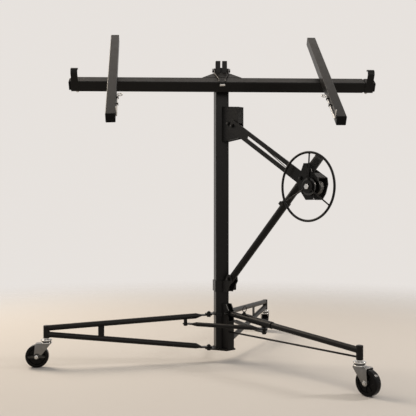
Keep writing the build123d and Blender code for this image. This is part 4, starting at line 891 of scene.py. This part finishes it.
def saddle(way, height, radius, slope):
    """Ring of points round a tube that runs outwards into a caster socket."""
    out = heading(way)
    across = UP.cross(out)
    ring = []
    for step in range(SADDLE_STEPS):
        angle = 2 * math.pi * step / SADDLE_STEPS
        aside = radius * math.cos(angle)
        back = math.sqrt(SOCKET_R ** 2 - aside ** 2)
        level = min(height + radius * math.sin(angle) - slope * back, SOCKET_LIP)
        ring.append(out * (SOCKET_REACH - back) + across * aside + UP * level)
    return ring


def leg_slope(inner, outer, start=LEG_PIVOT):
    """Rise of a tube per millimetre between its start and the socket."""
    return (outer - inner) / (SOCKET_REACH - start)


# %% Folding legs
STRUT_REACH = 550
STRUT_HALF_WIDTH = 13
STRUT_HALF_THICK = 2.5
STRUT_SEAM = 2.8

for side in ("left", "back"):
    way = CASTERS[side][0]
    out = heading(way)
    across = UP.cross(out)
    beads = []
    for end, (inner, outer) in LEG_ENDS.items():
        slope = leg_slope(inner, outer)
        beads.append(bead(saddle(way, outer, TUBE_R, slope), closed=True))
        facing = -1 if end == "upper" else 1
        rise = facing * math.sqrt(TUBE_R ** 2 - STRUT_HALF_THICK ** 2)
        seam = []
        for reach in (STRUT_REACH - STRUT_HALF_WIDTH, STRUT_REACH + STRUT_HALF_WIDTH):
            seam.append(out * reach + UP * (inner + slope * (reach - LEG_PIVOT) + rise))
        for face in (-STRUT_SEAM, STRUT_SEAM):
            beads.append(bead([place + across * face for place in seam], thick=THIN_BEAD_R))
    settle(merge(beads), side + "_leg_welds", side + "_leg", "black_steel")

# %% [markdown]
# The mast's foot plate and lug plates are welded round three sides of the mast, because the back leg folds
# past the fourth corner. The plates of the winch plane meet the mast's front wall at a slant, so their
# upright seams are worked out from the side offset.

# %% Fixed leg, mast foot and brackets
MAST_HALF = 30
FIXED_START = 36
FIXED_ENDS = (225, 165)
TIE_ROD_HEIGHT = 139
TIE_ROD_R = 4
FOOT_SEAM = ((31, 16), (31, -31), (-31, -31), (-31, 31), (14, 31))
FOOT_HEIGHTS = (62.2, 213.6, 220.0)
# Side offset, lower end, upper end and thickness of the seams of leg bracket, mast bracket and foot strap
PLATE_SEAMS = (
    (18.5, 66, 262, BEAD_R),
    (16.6, 1012, 1166, BEAD_R),
    (21.2, 372, 378, THIN_BEAD_R),
)


def wall_seam(side, low, high):
    """Upright seam where a winch-plane plate at a side offset meets the mast's front wall."""
    out = (MAST_HALF + WINCH_SIDE.y * side) / -WINCH_OUT.y
    return [WINCH_OUT * out + WINCH_SIDE * side + UP * height for height in (low, high)]


fixed_way = CASTERS["right"][0]
beads = [
    bead(saddle(fixed_way, FIXED_ENDS[1], TUBE_R, leg_slope(*FIXED_ENDS, FIXED_START)), closed=True),
    bead(saddle(fixed_way, TIE_ROD_HEIGHT, TIE_ROD_R, 0), closed=True, thick=ROD_BEAD_R),
]
for height in FOOT_HEIGHTS:
    beads.append(bead([(x, y, height) for x, y in FOOT_SEAM]))
for offset, low, high, thick in PLATE_SEAMS:
    for side in (-offset, offset):
        beads.append(bead(wall_seam(side, low, high), thick=thick))
settle(merge(beads), "base_welds", "base", "black_steel")

# %% [markdown]
# ## Cradle
# The cradle leans back from the mast's head and is turned a little to one side. Its pieces are modelled in
# its own drawing plane (X along the beam, Y up the cradle, Z out of its face) and one matrix puts them on
# the hoist.

# %% Cradle plane
HEAD_PIN = 1340
CRADLE_TURN = -8.5
CRADLE_LEAN = math.radians(35)

cradle_along = heading(CRADLE_TURN)
cradle_up = heading(CRADLE_TURN + 90) * math.cos(CRADLE_LEAN) + UP * math.sin(CRADLE_LEAN)
cradle_place = Matrix((cradle_along, cradle_up, cradle_along.cross(cradle_up))).transposed().to_4x4()
cradle_place.translation = UP * HEAD_PIN * MM


def settle_on_cradle(piece, name, body, slot, smooth=40, look=None):
    piece.matrix_world = cradle_place @ piece.matrix_world
    settle(piece, name, body, slot, smooth, look)


print("cradle leans", round(math.degrees(CRADLE_LEAN)), "degrees")

# %% [markdown]
# The gusset is welded to the beam along its upper edge and its underside, and the tilt lug under it along
# both faces. The upper bead is thinner than the rest and lies low in its corner. Each horn has one bead
# where it leaves its block, which rides out with the outrigger.

# %% Beam, gusset and horn welds
BEAM_HALF = 640
BEAM_Y = -105
BEAM_Z = -22
BEAM_SIDE = 50
BEAM_BACK = BEAM_Y + BEAM_SIDE / 2
BEAM_FRONT = BEAM_Y - BEAM_SIDE / 2
BEAM_TOP = BEAM_Z + BEAM_SIDE / 2
BEAM_BOTTOM = BEAM_Z - BEAM_SIDE / 2
BLOCK_HALF = 19
RIGHT_PULL = 8
BLOCK_MID = {"left": -BEAM_HALF - BLOCK_HALF, "right": BEAM_HALF + RIGHT_PULL + BLOCK_HALF}
GUSSET_HALF = 87
GUSSET_UNDER = -3
GUSSET_SINK = 0.9
GUSSET_BEAD_R = 1.7
LUG_SEAM = 5
LUG_END = -30
HORN_HALF = 14
HORN_Y = BEAM_FRONT + 6
HORN_Z = BEAM_TOP + 0.6


def level_bead(start_x, end_x, y, z, thick=BEAD_R):
    return bead([(start_x, y, z), (end_x, y, z)], thick=thick)


beads = [
    level_bead(-GUSSET_HALF, GUSSET_HALF, BEAM_BACK, BEAM_TOP - GUSSET_SINK, thick=GUSSET_BEAD_R),
    level_bead(-GUSSET_HALF, GUSSET_HALF, BEAM_BACK + 1, GUSSET_UNDER),
]
for face in (-LUG_SEAM, LUG_SEAM):
    beads.append(bead([(face, BEAM_BACK + 3, GUSSET_UNDER), (face, LUG_END, GUSSET_UNDER)]))
settle_on_cradle(merge(beads), "cradle_welds", "cradle", "black_steel")

for side, middle in BLOCK_MID.items():
    horn_weld = level_bead(middle - HORN_HALF, middle + HORN_HALF, HORN_Y, HORN_Z)
    settle_on_cradle(horn_weld, side + "_horn_weld", side + "_outrigger", "black_steel")

# %% [markdown]
# A small screw under each outrigger block holds the outrigger where it was pulled to, and a plastic plug
# closes the block's end. The bail has a catch plate that hooks over the beam's front edge.

# %% Outrigger screws
SCREW_INSET = 6
# Radius, lower end, upper end, rounding and sides, from the beam's underside
SCREW_ROUNDS = ((9, -2, 1, 0.5, 48), (7.5, -12, -2, 1.0, 14))

for side, middle in BLOCK_MID.items():
    x = middle - math.copysign(SCREW_INSET, middle)
    screw = merge([
        round_bar(radius, (x, BEAM_Y, BEAM_BOTTOM + low), (x, BEAM_Y, BEAM_BOTTOM + high), edge, sides)
        for radius, low, high, edge, sides in SCREW_ROUNDS
    ])
    settle_on_cradle(screw, side + "_outrigger_screw", side + "_outrigger", "zinc_steel",
                     smooth=35, look="race_zinc")

# %% Plugs in the outrigger ends
PLUG_SIZE = (11, 41, 41)
PLUG_OUT = BLOCK_HALF + 4.5
PLUG_EDGE = 3

for side, middle in BLOCK_MID.items():
    plug = block(PLUG_SIZE, (middle + math.copysign(PLUG_OUT, middle), BEAM_Y, BEAM_Z))
    soften(plug, PLUG_EDGE)
    settle_on_cradle(plug, side + "_outrigger_plug", side + "_outrigger", "black_plastic", smooth=45)

# %% Catch plate on the bail
BAIL_FRONT = -133.6
BAIL_HOOK = -8
CATCH_SIZE = (24, 4.8, 10)
CATCH_EDGE = 1.6

catch = block(CATCH_SIZE, (0, BAIL_FRONT - CATCH_SIZE[1] / 2, BAIL_HOOK))
soften(catch, CATCH_EDGE)
settle_on_cradle(catch, "bail_catch", "bail", "zinc_steel", smooth=35, look="race_zinc")

# %% [markdown]
# ## Small fittings
# The foot strap of the winch post is drawn tight round the mast by a screw with a bar knob. The handwheel's
# spokes are welded to its rim and hub. The frame's bolts end a few threads past their nuts.

# %% Strap knob
STRAP_FACE = 34
KNOB_Y = -5
KNOB_Z = 346.5
KNOB_OUT = 28
KNOB_HALF = 7
KNOB_EDGE = 2.4
KNOB_ROUNDS = ((0, -16, 6.5), (0, 16, 6.5), (0, 0, 9))
# Radius, near end and far end of the washer and the stud, from the strap's face
STUD_ROUNDS = ((8.5, -0.5, 1.6), (4, 0, 26))
STUD_EDGE = 0.4

stud = merge([
    round_bar(radius, (STRAP_FACE + near, KNOB_Y, KNOB_Z), (STRAP_FACE + far, KNOB_Y, KNOB_Z), STUD_EDGE)
    for radius, near, far in STUD_ROUNDS
])
settle(stud, "strap_stud", "base", "zinc_steel", smooth=35)
knob = hull_plate(KNOB_ROUNDS, -KNOB_HALF, KNOB_HALF, KNOB_EDGE)
knob.rotation_euler.z = math.pi / 2
knob.location = Vector((STRAP_FACE + KNOB_OUT, KNOB_Y, KNOB_Z)) * MM
settle(knob, "strap_knob", "base", "black_plastic", smooth=45)

# %% Spoke welds
WHEEL_SIDE = 42
RIM_EDGE = 131.6
HUB_EDGE = 26.4
SPOKES = 3
SPOKE_R = 3
FIRST_SPOKE = 86
SPOKE_STEPS = 12

heart = drum_heart / MM + WINCH_SIDE * WHEEL_SIDE
beads = []
for spoke in range(SPOKES):
    angle = math.radians(FIRST_SPOKE - 360 / SPOKES * spoke)
    out = WINCH_OUT * math.cos(angle) + UP * math.sin(angle)
    across = WINCH_SIDE.cross(out)
    for reach in (RIM_EDGE, HUB_EDGE):
        ring = []
        for step in range(SPOKE_STEPS):
            turn = 2 * math.pi * step / SPOKE_STEPS
            aside = WINCH_SIDE * math.cos(turn) + across * math.sin(turn)
            ring.append(heart + out * reach + aside * SPOKE_R)
        beads.append(bead(ring, closed=True, thick=ROD_BEAD_R))
settle(merge(beads), "spoke_welds", "drum", "black_steel")

# %% Bolt ends
NUT = 6.3
NUT_OVERLAP = 0.5
THREAD = 3.5
THREAD_R = 4.3
THREAD_EDGE = 0.8
# Nut faces of the bolts in the winch plane, and heights of those in the leg lugs
WINCH_BOLTS = (
    (56, 223.4, 18),
    (66, 1088, 16),
    (100, 1075, 22),
    (514, 826, 26),
    (71.3, 382.4, 20.5),
)
LUG_BOLTS = (66.6, 219.3)

bolt_faces = [(winch(*face) / MM, WINCH_SIDE) for face in WINCH_BOLTS]
for side in ("left", "back"):
    for height in LUG_BOLTS:
        bolt_faces.append((heading(CASTERS[side][0]) * LEG_PIVOT + UP * height, UP))
threads = []
for face, run in bolt_faces:
    start, end = face + run * (NUT - NUT_OVERLAP), face + run * (NUT + THREAD)
    threads.append(round_bar(THREAD_R, start, end, THREAD_EDGE, 24))
settle(merge(threads), "bolt_ends", "base", "zinc_steel", smooth=35, look="oiled_steel_and_painted_shade")

# %% [markdown]
# ## Floor and light
# A pale floor fades into the pale background, so no horizon cuts through the picture. A large soft box
# high behind the hoist skims the upper faces and the mast's left side, as a low sun would, and a weak one
# above the cradle helps it. A fill from the front opens the shadows, and a small lamp at the right puts a
# glint on the wheels.

# %% Floor
FLOOR_RADIUS = 14.0
FLOOR_COLOUR = (0.62, 0.60, 0.575, 1)
FLOOR_FADE = (1.3, 3.8)

bpy.ops.object.select_all(action="DESELECT")
bpy.ops.mesh.primitive_circle_add(vertices=96, radius=FLOOR_RADIUS, fill_type="NGON")
floor = bpy.context.object
floor.name = "studio_floor"
ground = Finish("studio_floor", Base_Color=FLOOR_COLOUR, Roughness=0.85)
reach = ground.node("ShaderNodeVectorMath", {"operation": "LENGTH"}, {0: ground.place}, "Value")
fade = ground.between(reach, *FLOOR_FADE)
clear = ground.node("ShaderNodeBsdfTransparent")
skin = Signal(ground, ground.shader.outputs[0])
shade = ground.node("ShaderNodeMixShader", None, {0: fade, 1: skin, 2: clear})
ground.join(ground.tree.nodes["Material Output"].inputs["Surface"], shade)
floor.data.materials.append(ground.material)
floor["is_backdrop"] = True
print("floor fades from", FLOOR_FADE[0], "to", FLOOR_FADE[1], "m")

# %% [markdown]
# The background is bright where it is seen, mirrored or looked at through the fading floor, and weaker
# as a light, so that it doesn't wash out the shadows.

# %% Background
BACKDROP = (0.80, 0.762, 0.728, 1)
SKY_AS_LIGHT = 0.36
SKY_AS_SEEN = 1.0

world = bpy.data.worlds.new("studio_sky")
bpy.context.scene.world = world
world.use_nodes = True
sky = world.node_tree
backdrop = sky.nodes["Background"]
backdrop.inputs["Color"].default_value = BACKDROP
ray = sky.nodes.new("ShaderNodeLightPath")
seen = ray.outputs["Is Camera Ray"]
for kind in ("Is Glossy Ray", "Is Transmission Ray"):
    either = sky.nodes.new("ShaderNodeMath")
    either.operation = "MAXIMUM"
    sky.links.new(seen, either.inputs[0])
    sky.links.new(ray.outputs[kind], either.inputs[1])
    seen = either.outputs[0]
level = sky.nodes.new("ShaderNodeMapRange")
level.inputs["To Min"].default_value = SKY_AS_LIGHT
level.inputs["To Max"].default_value = SKY_AS_SEEN
sky.links.new(seen, level.inputs["Value"])
sky.links.new(level.outputs[0], backdrop.inputs["Strength"])
print("background as light:", SKY_AS_LIGHT)


# %% Lamps
def soft_box(name, place, aim, size, power, colour):
    """Rectangular lamp that faces a point and isn't itself in the picture."""
    turn = (Vector(aim) - Vector(place)).to_track_quat("-Z", "Y").to_euler()
    bpy.ops.object.light_add(type="AREA", location=place, rotation=turn)
    lamp = bpy.context.object
    lamp.name = name
    lamp.data.shape = "RECTANGLE"
    lamp.data.size, lamp.data.size_y = size
    lamp.data.energy = power
    lamp.data.color = colour
    lamp.visible_camera = False
    print(name, "with", power, "W")


soft_box("sun_box", (-2.6, 2.4, 3.4), (0, 0, 0.8), (2.4, 2.4), 180, (1.0, 0.86, 0.70))
soft_box("top_box", (0.1, 1.35, 3.3), (0.1, 0.0, 1.2), (3.2, 1.1), 7, (1.0, 0.88, 0.76))
soft_box("front_fill", (0.3, -3.7, 2.6), (0, 0, 0.7), (2.6, 2.2), 36, (1.0, 0.93, 0.86))
soft_box("right_edge", (3.2, -0.6, 2.2), (0.2, 0, 0.8), (0.5, 0.8), 48, (1.0, 0.92, 0.84))
bpy.context.scene.view_settings.view_transform = "Standard"

# %% [markdown]
# ## Size
# The box of the dressed hoist is printed. The dressing adds less than a centimetre to any side of the
# CAD model's box, and the plug in the right outrigger's end adds the most.

# %% Sizes and finish
low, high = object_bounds()
print("dressed hoist:", [round(side, 3) for side in high - low])
